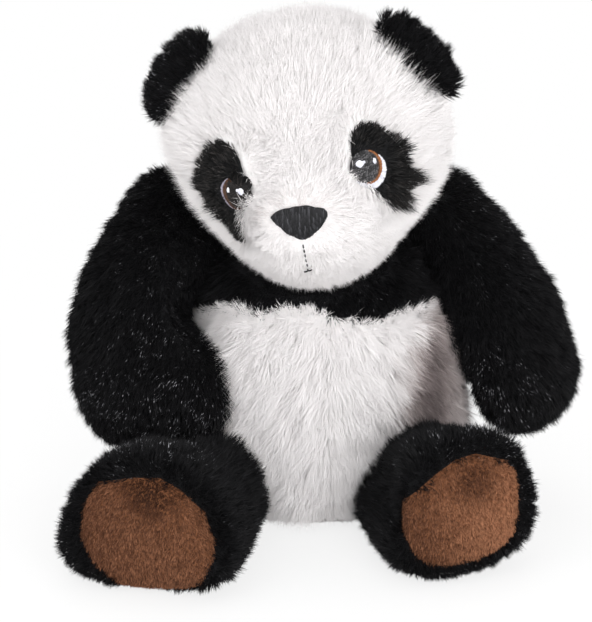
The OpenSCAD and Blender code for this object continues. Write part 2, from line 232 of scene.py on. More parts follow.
def named_tree(name, inputs):
    """A tree of Geometry Nodes with named inputs: the tree, and the sockets of what it is given."""
    tree = bpy.data.node_groups.new(name, "GeometryNodeTree")
    for label, kind in (("Geometry", "Geometry"), *inputs):
        tree.interface.new_socket(label, in_out="INPUT", socket_type="NodeSocket" + kind)
    tree.interface.new_socket("Geometry", in_out="OUTPUT", socket_type="NodeSocketGeometry")
    return tree, tree.nodes.new("NodeGroupInput").outputs


def read_field(tree, name, kind):
    made = add_node(tree, "GeometryNodeInputNamedAttribute", {"data_type": kind}, {"Name": name})
    return made.outputs["Attribute"]


def in_band(tree, value, width, start):
    made = add_node(tree, "ShaderNodeMath", {"operation": "MULTIPLY_ADD"}, {0: value, 1: width, 2: start})
    return made.outputs[0]


def pile_tree():
    """Strands scattered over a cover: they lean with the comb, and gather into locks of one lean and tone."""
    numbers = ("Density", "Length", "Width", "Lean", "Tousle", "Lock Density", "Lock Tousle", "Lock Pull",
               "Sweep", "Roll")
    tree, given = named_tree("pile_of_strands", [
        *((name, "Float") for name in numbers), ("Soft", "Bool"), ("Seed", "Int"), ("Strand", "Object"),
        ("Material", "Material")])
    strand_lengths = (0.7, 1.14)
    lock_lengths = (0.68, 1.28)
    strand_widths = (0.75, 1.25)
    strand_tone, lock_tone, least_tone = 0.42, 0.18, 0.4
    lock_light, strand_light = 0.45, 0.18
    chart_width, chart_start = 0.96, 0.02
    lowest = (-9, -9, 0.3 * mm)

    def math_node(operation, a, b):
        return add_node(tree, "ShaderNodeMath", {"operation": operation}, {0: a, 1: b}).outputs[0]

    def vector_node(operation, a, b):
        return add_node(tree, "ShaderNodeVectorMath", {"operation": operation}, {0: a, 1: b}).outputs[0]

    def scaled(vector, amount):
        made = add_node(tree, "ShaderNodeVectorMath", {"operation": "SCALE"}, {0: vector, "Scale": amount})
        return made.outputs[0]

    def keep(geometry, name, kind, value, domain="POINT"):
        return add_node(tree, "GeometryNodeStoreNamedAttribute", {"data_type": kind, "domain": domain},
                        {"Geometry": geometry, "Name": name, "Value": value}).outputs["Geometry"]

    def random_number(low, high, step):
        seed = math_node("ADD", given["Seed"], step)
        return add_node(tree, "FunctionNodeRandomValue", {"data_type": "FLOAT"},
                        {2: low, 3: high, "Seed": seed}).outputs[1]

    def random_vector(step):
        seed = math_node("ADD", given["Seed"], step)
        return add_node(tree, "FunctionNodeRandomValue", {"data_type": "FLOAT_VECTOR"},
                        {0: (-1, -1, -1), 1: (1, 1, 1), "Seed": seed}).outputs[0]

    def scattered(density, seed):
        return add_node(tree, "GeometryNodeDistributePointsOnFaces", {"distribute_method": "RANDOM"},
                        {"Mesh": given["Geometry"], "Density": density, "Seed": seed}).outputs

    where = add_node(tree, "GeometryNodeInputPosition").outputs[0]
    comb = read_field(tree, "comb", "FLOAT_VECTOR")
    density = math_node("MULTIPLY", given["Density"], read_field(tree, "pile", "FLOAT"))
    roots = scattered(density, given["Seed"])
    lock_roots = scattered(given["Lock Density"], math_node("ADD", given["Seed"], 11))["Points"]
    nearest = add_node(tree, "GeometryNodeSampleNearest", {"domain": "POINT"},
                       {"Geometry": lock_roots}).outputs[0]

    def of_lock(value, kind):
        return add_node(tree, "GeometryNodeSampleIndex", {"data_type": kind, "domain": "POINT"},
                        {"Geometry": lock_roots, "Value": value, "Index": nearest}).outputs[0]

    lock_shift = vector_node("SUBTRACT", of_lock(where, "FLOAT_VECTOR"), where)
    lock_way = scaled(of_lock(random_vector(21), "FLOAT_VECTOR"), given["Lock Tousle"])
    way = vector_node("ADD", roots["Normal"], scaled(comb, given["Lean"]))
    way = vector_node("ADD", way, lock_way)
    way = vector_node("ADD", way, scaled(random_vector(31), given["Tousle"]))
    length = read_field(tree, "pile_length", "FLOAT")
    length = math_node("MULTIPLY", length, random_number(*strand_lengths, 41))
    length = math_node("MULTIPLY", given["Length"], length)
    length = math_node("MULTIPLY", length, of_lock(random_number(*lock_lengths, 25), "FLOAT"))
    tone = math_node("ADD", math_node("MULTIPLY", random_number(0, 1, 51), strand_tone),
                     math_node("MULTIPLY", of_lock(random_number(0, 1, 23), "FLOAT"), lock_tone))
    tone = math_node("MULTIPLY", math_node("ADD", tone, least_tone), read_field(tree, "tint", "FLOAT"))
    skin = vector_node("ADD", roots["Normal"], scaled(lock_way, lock_light))
    skin = vector_node("ADD", skin, scaled(random_vector(31), strand_light))
    points = keep(roots["Points"], "lock_shift", "FLOAT_VECTOR", lock_shift)
    points = keep(points, "skin", "FLOAT_VECTOR", skin)
    points = keep(points, "sweep", "FLOAT_VECTOR", scaled(vector_node("ADD", comb, lock_way), length))
    points = keep(points, "tone", "FLOAT", tone)
    upright = add_node(tree, "FunctionNodeAlignRotationToVector", {"axis": "Z"}, {"Vector": way}).outputs[0]
    facing = add_node(tree, "FunctionNodeAlignRotationToVector", {"axis": "Y", "pivot_axis": "Z"},
                      {"Rotation": upright, "Vector": roots["Normal"]}).outputs[0]
    angle = math_node("MULTIPLY", random_number(-1, 1, 61), given["Roll"])
    roll = add_node(tree, "FunctionNodeAxisAngleToRotation", None,
                    {"Axis": (0, 0, 1), "Angle": angle}).outputs[0]
    turned = add_node(tree, "FunctionNodeRotateRotation", {"rotation_space": "LOCAL"},
                      {"Rotation": facing, "Rotate By": roll}).outputs[0]
    width = math_node("MULTIPLY", given["Width"], random_number(*strand_widths, 71))
    size = add_node(tree, "ShaderNodeCombineXYZ", None, {"X": width, "Y": length, "Z": length}).outputs[0]
    strand = add_node(tree, "GeometryNodeObjectInfo", None, {"Object": given["Strand"]}).outputs["Geometry"]
    copies = add_node(tree, "GeometryNodeInstanceOnPoints", None, {
        "Points": points, "Instance": strand, "Rotation": turned, "Scale": size}).outputs["Instances"]
    strands = add_node(tree, "GeometryNodeRealizeInstances", None, {"Geometry": copies}).outputs["Geometry"]
    along = read_field(tree, "along", "FLOAT")
    pulled = scaled(read_field(tree, "lock_shift", "FLOAT_VECTOR"),
                    math_node("MULTIPLY", given["Lock Pull"], math_node("POWER", along, 1.5)))
    swept = scaled(read_field(tree, "sweep", "FLOAT_VECTOR"),
                   math_node("MULTIPLY", given["Sweep"], math_node("POWER", along, 2)))
    place = vector_node("ADD", where, vector_node("ADD", pulled, swept))
    laid = add_node(tree, "GeometryNodeSetPosition", None, {
        "Geometry": strands, "Position": vector_node("MAXIMUM", place, lowest)}).outputs["Geometry"]
    lit = add_node(tree, "GeometryNodeSetMeshNormal", {"mode": "FREE", "domain": "POINT"}, {
        "Mesh": laid, "Custom Normal": read_field(tree, "skin", "FLOAT_VECTOR")}).outputs["Mesh"]
    laid = add_node(tree, "GeometryNodeSwitch", {"input_type": "GEOMETRY"}, {
        "Switch": given["Soft"], "False": laid, "True": lit}).outputs[0]
    column = math_node("ADD", in_band(tree, read_field(tree, "tone", "FLOAT"), chart_width, chart_start),
                       math_node("MULTIPLY", read_field(tree, "across", "FLOAT"), 0.006))
    chart = add_node(tree, "ShaderNodeCombineXYZ", None, {
        "X": column, "Y": in_band(tree, along, chart_width, chart_start)}).outputs[0]
    mapped = keep(laid, "OFBake", "FLOAT2", chart, "CORNER")
    dyed = add_node(tree, "GeometryNodeSetMaterial", None,
                    {"Geometry": mapped, "Material": given["Material"]}).outputs["Geometry"]
    tree.links.new(dyed, tree.nodes.new("NodeGroupOutput").inputs[0])
    return tree


pile_maker = pile_tree()
one_strand = strand_form()


def grown_piece(name, mesh, tree, values, body):
    """Runs a tree of nodes over a mesh, and keeps what it makes as a plain piece that rides on a body."""
    working_fields = ("tint", "pile", "pile_length", "comb", "lock_shift", "skin", "sweep", "tone", "along",
                      "across", "way", "lift", "stitch_length")
    ground = mesh_piece(name + "_ground", mesh)
    grower = ground.modifiers.new("grower", "NODES")
    grower.node_group = tree
    for socket in tree.interface.items_tree:
        if socket.in_out == "INPUT" and socket.name in values:
            grower[socket.identifier] = values[socket.name]
    graph = bpy.context.evaluated_depsgraph_get()
    grown = bpy.data.meshes.new_from_object(ground.evaluated_get(graph))
    grown.name = name
    for field in working_fields:
        if field in grown.attributes:
            grown.attributes.remove(grown.attributes[field])
    bpy.data.objects.remove(ground)
    bpy.data.meshes.remove(mesh)
    piece = mesh_piece(name, grown)
    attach(piece, body)
    return piece


def grow_pile(name, cover, body, slot, dye, pile, length_share, comb, seed, tint=1.0, **sizes):
    """Grows strands on a cover, where pile says how thickly, length_share how long and comb which way."""
    mesh = cover.data.copy()
    store(mesh, "tint", "FLOAT", np.ones(len(mesh.vertices)) * tint)
    store(mesh, "pile", "FLOAT", pile)
    store(mesh, "pile_length", "FLOAT", length_share)
    normals = read_normals(mesh)
    store(mesh, "comb", "FLOAT_VECTOR", comb - normals * np.sum(comb * normals, axis=1, keepdims=True))
    values = {"Density": 4.2e6, "Length": 7 * mm, "Width": 0.28 * mm, "Lean": 0.6, "Tousle": 0.4,
              "Lock Density": 0.14e6, "Lock Tousle": 0.25, "Lock Pull": 0.4, "Sweep": 0.35, "Roll": math.pi,
              "Soft": False}
    values.update(sizes)
    values.update({"Seed": seed, "Strand": one_strand, "Material": dye})
    grown_piece(name, mesh, pile_maker, values, body)


def new_material(name, roughness, shine):
    material = bpy.data.materials.new(name)
    material.use_nodes = True
    shader = material.node_tree.nodes["Principled BSDF"]
    shader.inputs["Roughness"].default_value = roughness
    shader.inputs["Specular IOR Level"].default_value = shine
    return material, material.node_tree, shader


def colour_ramp(tree, share, stops):
    """A band of colours along a share; one number stands for a grey."""
    made = add_node(tree, "ShaderNodeValToRGB", None, {"Fac": share})
    band = made.color_ramp
    while len(band.elements) < len(stops):
        band.elements.new(0.5)
    for element, (position, colour) in zip(band.elements, stops):
        element.position = position
        element.color = (*colour, 1) if isinstance(colour, tuple) else (colour, colour, colour, 1)
    return made.outputs["Color"]


def pile_dye(name, roughness, shine, lengthwise, tones, two_sided=False, flecks=None):
    """Colour along a strand times its own tone, with flecks added on some strands; a two-sided one keeps
    the skin's light on both faces."""
    material, tree, shader = new_material(name, roughness, shine)
    place = add_node(tree, "ShaderNodeUVMap", {"uv_map": "OFBake"}).outputs[0]
    split = add_node(tree, "ShaderNodeSeparateXYZ", None, {0: place})
    length = colour_ramp(tree, split.outputs["Y"], lengthwise)
    strand = colour_ramp(tree, split.outputs["X"], tones)
    mix = add_node(tree, "ShaderNodeMix", {"data_type": "RGBA", "blend_type": "MULTIPLY"},
                   {"Factor": 1.0, 6: length, 7: strand})
    if flecks:
        fleck = add_node(tree, "ShaderNodeMix", {"data_type": "RGBA", "blend_type": "MULTIPLY"}, {
            "Factor": 1.0, 6: colour_ramp(tree, split.outputs["Y"], flecks[0]),
            7: colour_ramp(tree, split.outputs["X"], flecks[1])})
        mix = add_node(tree, "ShaderNodeMix", {"data_type": "RGBA", "blend_type": "ADD"},
                       {"Factor": 1.0, 6: mix.outputs[2], 7: fleck.outputs[2]})
    tree.links.new(mix.outputs[2], shader.inputs["Base Color"])
    if two_sided:
        strand_side = add_node(tree, "ShaderNodeNewGeometry").outputs
        turn = add_node(tree, "ShaderNodeMath", {"operation": "MULTIPLY_ADD"},
                        {0: strand_side["Backfacing"], 1: -2.0, 2: 1.0}).outputs[0]
        skin = add_node(tree, "ShaderNodeVectorMath", {"operation": "SCALE"},
                        {0: strand_side["Normal"], "Scale": turn}).outputs[0]
        tree.links.new(skin, shader.inputs["Normal"])
    return material


def backing_cloth(name, dark, light):
    material, tree, shader = new_material(name, 0.9, 0.2)
    place = add_node(tree, "ShaderNodeTexCoord").outputs["Object"]
    knit = add_node(tree, "ShaderNodeTexNoise", None,
                    {"Vector": place, "Scale": 900.0, "Detail": 3.0}).outputs[0]
    tree.links.new(colour_ramp(tree, knit, [(0.3, dark), (0.7, light)]), shader.inputs["Base Color"])
    bump = add_node(tree, "ShaderNodeBump", None, {"Height": knit, "Strength": 0.4, "Distance": 0.3 * mm})
    tree.links.new(bump.outputs[0], shader.inputs["Normal"])
    return material


white_backing = backing_cloth("white_plush_backing", (0.88, 0.86, 0.855), (0.94, 0.93, 0.925))
black_backing = backing_cloth("black_plush_backing", (0.003, 0.003, 0.0035), (0.006, 0.006, 0.007))
# The white pile's lower tones, dark and pinkish grey, are painted shade: only the painted shade of the
# belly's sides and above the nose darkens a strand's tone into them.
white_pile = pile_dye(
    "white_plush_pile", 0.85, 0.15, [(0, (0.95, 0.92, 0.91)), (0.7, (0.985, 0.958, 0.956))],
    [(0.03, (0.085, 0.066, 0.066)), (0.16, (0.5, 0.44, 0.43)), (0.4, (0.96, 0.95, 0.95)), (1, 1)],
    two_sided=True)
silver = (0.42, 0.42, 0.45)
black_pile = pile_dye(
    "black_plush_pile", 0.6, 0.12, [(0.2, 0.4), (0.75, 1)],
    [(0.35, (0.0055, 0.0053, 0.006)), (1, (0.0105, 0.0103, 0.0115))],
    flecks=([(0.6, 0), (0.66, silver), (0.74, silver), (0.8, 0)], [(0.85, 0), (0.93, 1)]))


def sparkle(points, share=1.0):
    """Silver flecks gather in loose patches of the black pile: a slow wave over the places."""
    x, y, z = points.T
    wave = np.sin(x * 95 + 1.3) + np.sin(y * 120 + 0.4) + np.sin(z * 105 + 2.1)
    low = 0.5 + 0.5 * ramp(-105 * mm, -78 * mm, -z)
    return 0.9 + 0.1 * share * ramp(-1.2, 1.6, wave) * low


belly_seam_x = 5 * mm
yoke_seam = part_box("chest_yoke")[0].z + 4 * mm
down = np.array([0.0, 0.0, -1.0])
yoke_line = ((-50, -37, -25, -13, -2, 6, 14, 22, 30, 37, 45, 55),
             (11.4, 3.6, 5.2, 1.8, 2.2, 4.7, 6.8, 8.4, 6.5, 4.8, 6.6, 6.5))


def yoke_border(points):
    """Height of the seam between the black yoke and the white panels; in front it hangs unevenly."""
    drop = np.where(points[:, 1] < 15 * mm, np.interp(points[:, 0] / mm, *yoke_line), 2.6)
    return yoke_seam - drop * mm


def body_sewn(points):
    room = room_beside("body", points)
    seams = 1 - ramp(1.5 * mm, 5 * mm, np.abs(points[:, 2] - yoke_seam))
    middle = 1 - ramp(1 * mm, 4 * mm, np.abs(points[:, 0] - belly_seam_x))
    return np.maximum.reduce([seams, middle * 0.8, 1 - ramp(2 * mm, 6 * mm, room), points[:, 2] < 6 * mm])


def soft_waves(points):
    """Slow waves over the places, about 15 mm long, for the loose lumps of a plush surface."""
    ways = np.array([(310, 120, 250), (-180, 260, 340), (420, -150, 90), (90, 330, -400)])
    return np.mean(np.sin(points @ ways.T + [0.3, 1.7, 2.9, 4.1]), axis=1)


body_nodes = ["chest_yoke", "belly_panel", "back_panel", "seat_panel", "body_filling"]
body_cover = stuffed_cover("body_cover", body_nodes, body_sewn)
spots = read_points(body_cover.data)
lump_height = 1.1 * mm
seat_height = 8 * mm
lumps = lump_height * soft_waves(spots) * ramp(2 * mm, 8 * mm, room_beside("body", spots))
lumps = lumps * (spots[:, 2] > seat_height)
write_points(body_cover.data, spots + read_normals(body_cover.data) * lumps[:, None])
body_cover.data.materials.append(white_backing)
body_cover.data.materials.append(black_backing)
for face in body_cover.data.polygons:
    face.material_index = 1 if face.center.z > yoke_border(np.array([face.center]))[0] else 0
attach(body_cover, "body")
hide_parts(*body_nodes)

spots = read_points(body_cover.data)
room = room_beside("body", spots)
free = ramp(1.0 * mm, 3 * mm, room)
short = 0.35 + 0.65 * ramp(1 * mm, 9 * mm, room)
lying = ramp(3 * mm, 12 * mm, spots[:, 2])
under_seam = yoke_border(spots) - spots[:, 2]
below_seam = under_seam > -0.8 * mm
in_front = spots[:, 1] < 0
bare = ramp(40 * mm, 47 * mm, -spots[:, 0]) * (spots[:, 1] < 22 * mm) * ramp(76 * mm, 84 * mm, spots[:, 2])
free = np.maximum(free, bare)
short = np.maximum(short, 0.8 * bare)
tuft = np.exp(-((spots[:, 0] - belly_seam_x - 2 * mm) / (3 * mm)) ** 2) * in_front
parting, waviness = 0.35, 0.5
belly_comb = np.repeat(down[None], len(spots), 0)
belly_comb[:, 0] += parting * np.sign(spots[:, 0] - belly_seam_x) + waviness * soft_waves(spots[:, [2, 1, 0]])
yoke_comb = belly_comb * [0.4, 1, 1]
fluffed = ((1 - ramp(1 * mm, 8 * mm, under_seam)) * (1 - tuft))[:, None]
belly_comb = belly_comb * (1 - fluffed) - 0.1 * down * fluffed
yoke_short = short * np.maximum(0.22 + 0.78 * ramp(1 * mm, 9 * mm, -under_seam), 0.9 * tuft)
seat_short = short * (0.25 + 0.75 * lying) * (1 - 0.5 * fluffed[:, 0])
dense = free * (1 + 0.7 * fluffed[:, 0])
seam_short = 0.75 + 0.25 * ramp(1 * mm, 7 * mm, np.abs(spots[:, 0] - belly_seam_x))
leftward = spots[:, 0] > belly_seam_x
# Painted shade in the white pile's tone: darker down both sides of the belly beside the arms, most of all low
# down, where shade falls between belly and arm.
high_up = ramp(71 * mm, 97 * mm, spots[:, 2])
painted_left_shade = 0.95 * ramp(16 * mm, 42 * mm, spots[:, 0] - 18 * mm * high_up)
painted_left_shade = painted_left_shade * (1 - 0.26 * ramp(45 * mm, 55 * mm, spots[:, 0])) * (1 - 0.12 * high_up)
painted_right_shade = (0.8 - 0.62 * ramp(68 * mm, 86 * mm, spots[:, 2])) * ramp(22 * mm, 44 * mm, -spots[:, 0])
painted_belly_shade = 1 - np.maximum(painted_left_shade, painted_right_shade)
painted_belly_shade = np.where(in_front, painted_belly_shade, 0.8)
long_plush = {"Length": 9.5 * mm, "Lean": 0.55, "Roll": 0.9, "Soft": True, "Tousle": 0.45,
              "Lock Tousle": 0.32, "Lock Pull": 0.2}
for name, part, seed in (("right_belly", in_front & ~leftward, 101),
                         ("left_belly", in_front & leftward, 102)):
    grow_pile(name + "_pile", body_cover, "body", "white_plush", white_pile, dense * (below_seam & part),
              seat_short * seam_short, belly_comb, seed, painted_belly_shade, Density=6.5e6, Width=0.17 * mm, **long_plush)
grow_pile("back_pile", body_cover, "body", "white_plush", white_pile, free * (below_seam & ~in_front),
          seat_short, belly_comb, 103, Density=3.6e6, **long_plush)
grow_pile("yoke_pile", body_cover, "body", "black_plush", black_pile, free * (under_seam < 0), yoke_short,
          yoke_comb, 104, sparkle(spots))

# The sewn rings where the head and the limbs are gathered onto the body. Each is a dark woven tape, stitched
# through both covers; the frame's own solids show it.
seam_tape = backing_cloth("seam_tape", (0.02, 0.02, 0.021), (0.06, 0.058, 0.06))
for node in ("right_arm_seam", "left_arm_seam", "right_leg_seam", "left_leg_seam", "neck_seam"):
    frame["nodes"][node].data.materials.clear()
    frame["nodes"][node].data.materials.append(seam_tape)

# The head is a stuffed ball of white plush with a muzzle that stands out, sewn down its middle. Its pile
# runs outwards from the nose, and is cropped on the muzzle and round the embroidery.
head_middle = np.array(joint_place["head_turn"])
head_lean = Euler((math.radians(2), math.radians(-7), math.radians(-6))).to_matrix()
face_side = np.array(head_lean.col[0])
face_front = -np.array(head_lean.col[1])
face_up = np.array(head_lean.col[2])
nose_spot = np.array(box_middle("nose"))
eye_sides = (("right", -1), ("left", 1))


class SurfacePatch:
    """A flat chart laid against a curved surface: places are given across, up and above it."""

    def __init__(self, spot, tree, covered=lambda across, up: 0):
        self.tree = tree
        self.covered = covered
        self.out = (spot - head_middle) / np.linalg.norm(spot - head_middle)
        self.up = face_up - self.out * (face_up @ self.out)
        self.up /= np.linalg.norm(self.up)
        self.across = np.cross(self.up, self.out)
        self.spot = spot

    def flat(self, points):
        return (points - self.spot) @ self.across, (points - self.spot) @ self.up

    def hit(self, across, up, tree=None):
        probe_height, probe_reach = 0.05, 0.1
        start = self.spot + self.across * across + self.up * up + self.out * probe_height
        return (tree or self.tree).ray_cast(Vector(start), Vector(-self.out), probe_reach)[0]

    def place(self, across, up, above):
        found = self.hit(across, up)
        if self.covered(across, up) > 0:
            above = max(above - 2 * self.covered(across, up), 0.3 * mm)
        return None if found is None else np.array(found) + self.out * above


def piece_tree(mesh):
    corners = [vertex.co for vertex in mesh.vertices]
    return BVHTree.FromPolygons(corners, [list(face.vertices) for face in mesh.polygons])


def beside_nodes(points, *nodes):
    trees = [piece_tree(frame["nodes"][node].data) for node in nodes]
    return np.array([min(tree.find_nearest(point)[3] for tree in trees) for point in points])


def head_sewn(points):
    room = room_beside("head", points)
    middle = 1 - ramp(1 * mm, 4 * mm, np.abs((points - head_middle) @ face_side))
    near_nose = 1 - ramp(9 * mm, 14 * mm, np.linalg.norm(points - nose_spot, axis=1))
    near_patch = 1 - ramp(2 * mm, 8 * mm, beside_nodes(points, "right_eye_patch", "left_eye_patch"))
    return np.maximum.reduce([middle * 0.7, near_nose, near_patch, 1 - ramp(2 * mm, 6 * mm, room)])


def near_ear(side_name, points):
    return 1 - ramp(4 * mm, 16 * mm, beside_nodes(points, side_name + "_ear_front"))


jaw_draw = {"right": 0.25, "left": 0.18}
jaw_top = {"right": -22 * mm, "left": -4 * mm}
jaw_rise = 2.8 * mm
ear_fluff = {"right": 0.05, "left": 0.09}
head_nodes = ["head_cover", "head_filling"]
head_cover = stuffed_cover("head_plush_cover", head_nodes, head_sewn)
away = read_points(head_cover.data) - head_middle
sideways = away @ face_side
below = -(away @ face_up)
draw = sideways * np.where(sideways < 0, jaw_draw["right"] * ramp(jaw_top["right"], 30 * mm, below),
                           jaw_draw["left"] * ramp(jaw_top["left"], 38 * mm, below))
lift = jaw_rise * ramp(15 * mm, 45 * mm, below)
ear_places = away + head_middle
fluff = np.maximum(*[share * near_ear(side_name, ear_places) for side_name, share in ear_fluff.items()])
fluff = fluff + 0.012 * soft_waves(away)
moved = head_middle + away * (1 + fluff[:, None]) - draw[:, None] * face_side + lift[:, None] * face_up
write_points(head_cover.data, moved)
head_cover.data.materials.append(white_backing)
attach(head_cover, "head")
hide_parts(*head_nodes)
head_tree = piece_tree(head_cover.data)

spots = read_points(head_cover.data)
room = room_beside("head", spots)
clear_of_neck = ramp(-1.5 * mm, 0, room)
free = clear_of_neck
short = 0.3 + 0.7 * ramp(0, 7 * mm, room)
comb = unit_rows(spots - nose_spot)
nose_distance = np.linalg.norm(spots - nose_spot, axis=1)
outside_nose = beside_nodes(spots, "nose")
outside_mouth = beside_nodes(spots, "mouth_stitches")
outside_ear = beside_nodes(spots, "right_ear_front", "left_ear_front")
rise = (spots - head_middle) @ face_up
crop = 0.6 + 0.4 * ramp(10 * mm, 24 * mm, nose_distance)
crop = crop * (0.45 + 0.55 * ramp(1.5 * mm, 5 * mm, outside_mouth))
crop = crop * (0.5 + 0.5 * ramp(1 * mm, 6 * mm, outside_nose))
crop = crop * (0.62 + 0.38 * ramp(-34 * mm, -12 * mm, rise))
short = np.maximum(short, np.where(spots[:, 0] > 0, 1.4, 1.05) * (1 - ramp(4 * mm, 16 * mm, outside_ear)))
free = free * (outside_nose > 1 * mm)
eye_charts = {}
eye_raise = {"right": 3.4 * mm, "left": 2.6 * mm}
eye_shift = {"right": -0.5 * mm, "left": 3.2 * mm}
patch_width = {"right": 1.0, "left": 0.77}
patch_shift = {"right": (-1.0 * mm, 1.8 * mm), "left": (1.4 * mm, 0.3 * mm)}
patch_taper = {"right": 0.5, "left": 0.0}
muzzle_edge = {"right": ((-26.8, -21.5, -16, -8.2, -3.3, -0.7, 1.2),
                         (0.6, -2.4, -4.4, -1.8, 0.4, 4.6, 10.5)),
               "left": ((-26, -21.2, -13.9, -5.8, 1.6, 3), (18, 14.4, 7.4, -0.2, -7.8, -11))}
muzzle_way = {"right": (1.0, 0.1), "left": (-0.7, -0.7)}
lid_line = {"right": (3.4 * mm, -0.28), "left": (9 * mm, 0.0)}


def past_muzzle(side_name, across, up):
    """How far a place lies on the muzzle's side of its edge, which runs below and inside the eye."""
    ups, acrosses = muzzle_edge[side_name]
    border = np.interp(np.asarray(up) / mm, ups, acrosses) * mm
    return 0.7 * (border - across if side_name == "left" else across - border)


def past_lid(side_name, across, up):
    """How far a place lies above the line where the patch's pile hangs over the eye."""
    height, slope = lid_line[side_name]
    return up - height - slope * across


def eye_cover(side_name):
    """For a chart: how deep a place lies under the pile of the muzzle or of the lid."""
    return lambda across, up: float(max(past_muzzle(side_name, across, up), past_lid(side_name, across, up)))


cut_head_tree = piece_tree(frame["nodes"]["head_cover"].data)


def fit_patch(side_name, points):
    """The patch as it lies on the stuffed face: narrower than it was cut, and drawn to one side."""
    chart = eye_charts[side_name]
    across, up = chart.flat(points)
    middle, _ = chart.flat(np.array(box_middle(side_name + "_eye_patch")))
    aside, higher = patch_shift[side_name]
    taper = patch_taper[side_name] * ramp(3 * mm, 18 * mm, -up)
    narrower = (across - middle) * (patch_width[side_name] - 1)
    across_worn = across + aside + narrower - taper * (across + 3.4 * mm)
    up_worn = up + higher
    fitted = points.copy()
    for i, point in enumerate(points):
        cut = chart.hit(across[i], up[i], cut_head_tree)
        worn = chart.hit(across_worn[i], up_worn[i])
        if cut is not None and worn is not None:
            sunk = 4 * mm * ramp(0.3 * mm, 2 * mm, past_muzzle(side_name, across_worn[i], up_worn[i]))
            fitted[i] = np.array(worn) + chart.out * ((point - np.array(cut)) @ chart.out - sunk)
    return fitted


for side_name, sign in eye_sides:
    eye_spot = np.array(box_middle(side_name + "_eye_pupil"))
    eye_spot = eye_spot + face_up * eye_raise[side_name] + face_side * eye_shift[side_name]
    chart = SurfacePatch(eye_spot, head_tree, eye_cover(side_name))
    eye_charts[side_name] = chart
    patch_solid = frame["nodes"][side_name + "_eye_patch"].data
    fitted = fit_patch(side_name, read_points(patch_solid))
    patch_faces = [list(face.vertices) for face in patch_solid.polygons]
    patch_tree = BVHTree.FromPolygons(fitted.tolist(), patch_faces)
    found = [patch_tree.find_nearest(spot) for spot in spots]
    outside_patch = np.array([hit[3] for hit in found])
    apart = unit_rows(spots - np.array([hit[0] for hit in found]))
    near = (1 - ramp(2 * mm, 7 * mm, outside_patch))[:, None]
    comb = comb * (1 - near) + apart * near
    across, up = chart.flat(spots)
    before = np.linalg.norm(spots - chart.spot, axis=1) < 26 * mm
    under_eye = before & (np.hypot(across, up) < 7.4 * mm)
    free = free * (outside_patch > 1.5 * mm) * ~under_eye
    past = past_muzzle(side_name, across, up)
    free = np.where(before & (past > 0.5 * mm), clear_of_neck, free)
    over_across, over_up = muzzle_way[side_name]
    beside = (before * (1 - ramp(3 * mm, 7 * mm, np.abs(past))))[:, None]
    comb = comb * (1 - beside) + (chart.across * over_across + chart.up * over_up) * beside
    crop = crop * (1 + 0.25 * beside[:, 0] * (past > 0) * (up > -10 * mm))
forward = (spots - head_middle) @ face_front + 4 * mm * soft_waves(spots)
ahead = forward > 0
free = free * (1 - 0.45 * ramp(8 * mm, 34 * mm, -forward))
leftward = (spots - head_middle) @ face_side > 0
upward = (spots - head_middle) @ face_up > 8 * mm
# Painted shade: the pile close above the nose is dyed darker, for the shade that falls there.
painted_bridge_shade = (1 - ramp(1 * mm, 12 * mm, outside_nose)) * ramp(-4 * mm, 4 * mm, (spots - nose_spot) @ face_up)
face_plush = {"Length": 6.8 * mm, "Lean": 0.55, "Density": 7.5e6, "Width": 0.17 * mm, "Roll": 0.9,
              "Soft": True, "Tousle": 0.48, "Lock Density": 0.3e6, "Lock Tousle": 0.2, "Lock Pull": 0.2}
for name, part, seed in (
        ("right_brow", ahead & ~leftward & upward, 201), ("left_brow", ahead & leftward & upward, 202),
        ("right_cheek", ahead & ~leftward & ~upward, 203), ("left_cheek", ahead & leftward & ~upward, 204),
        ("right_crown", ~ahead & ~leftward, 205), ("left_crown", ~ahead & leftward, 206)):
    grow_pile(name + "_pile", head_cover, "head", "white_plush", white_pile, free * part, short * crop, comb,
              seed, 1 - 0.5 * painted_bridge_shade, **face_plush)

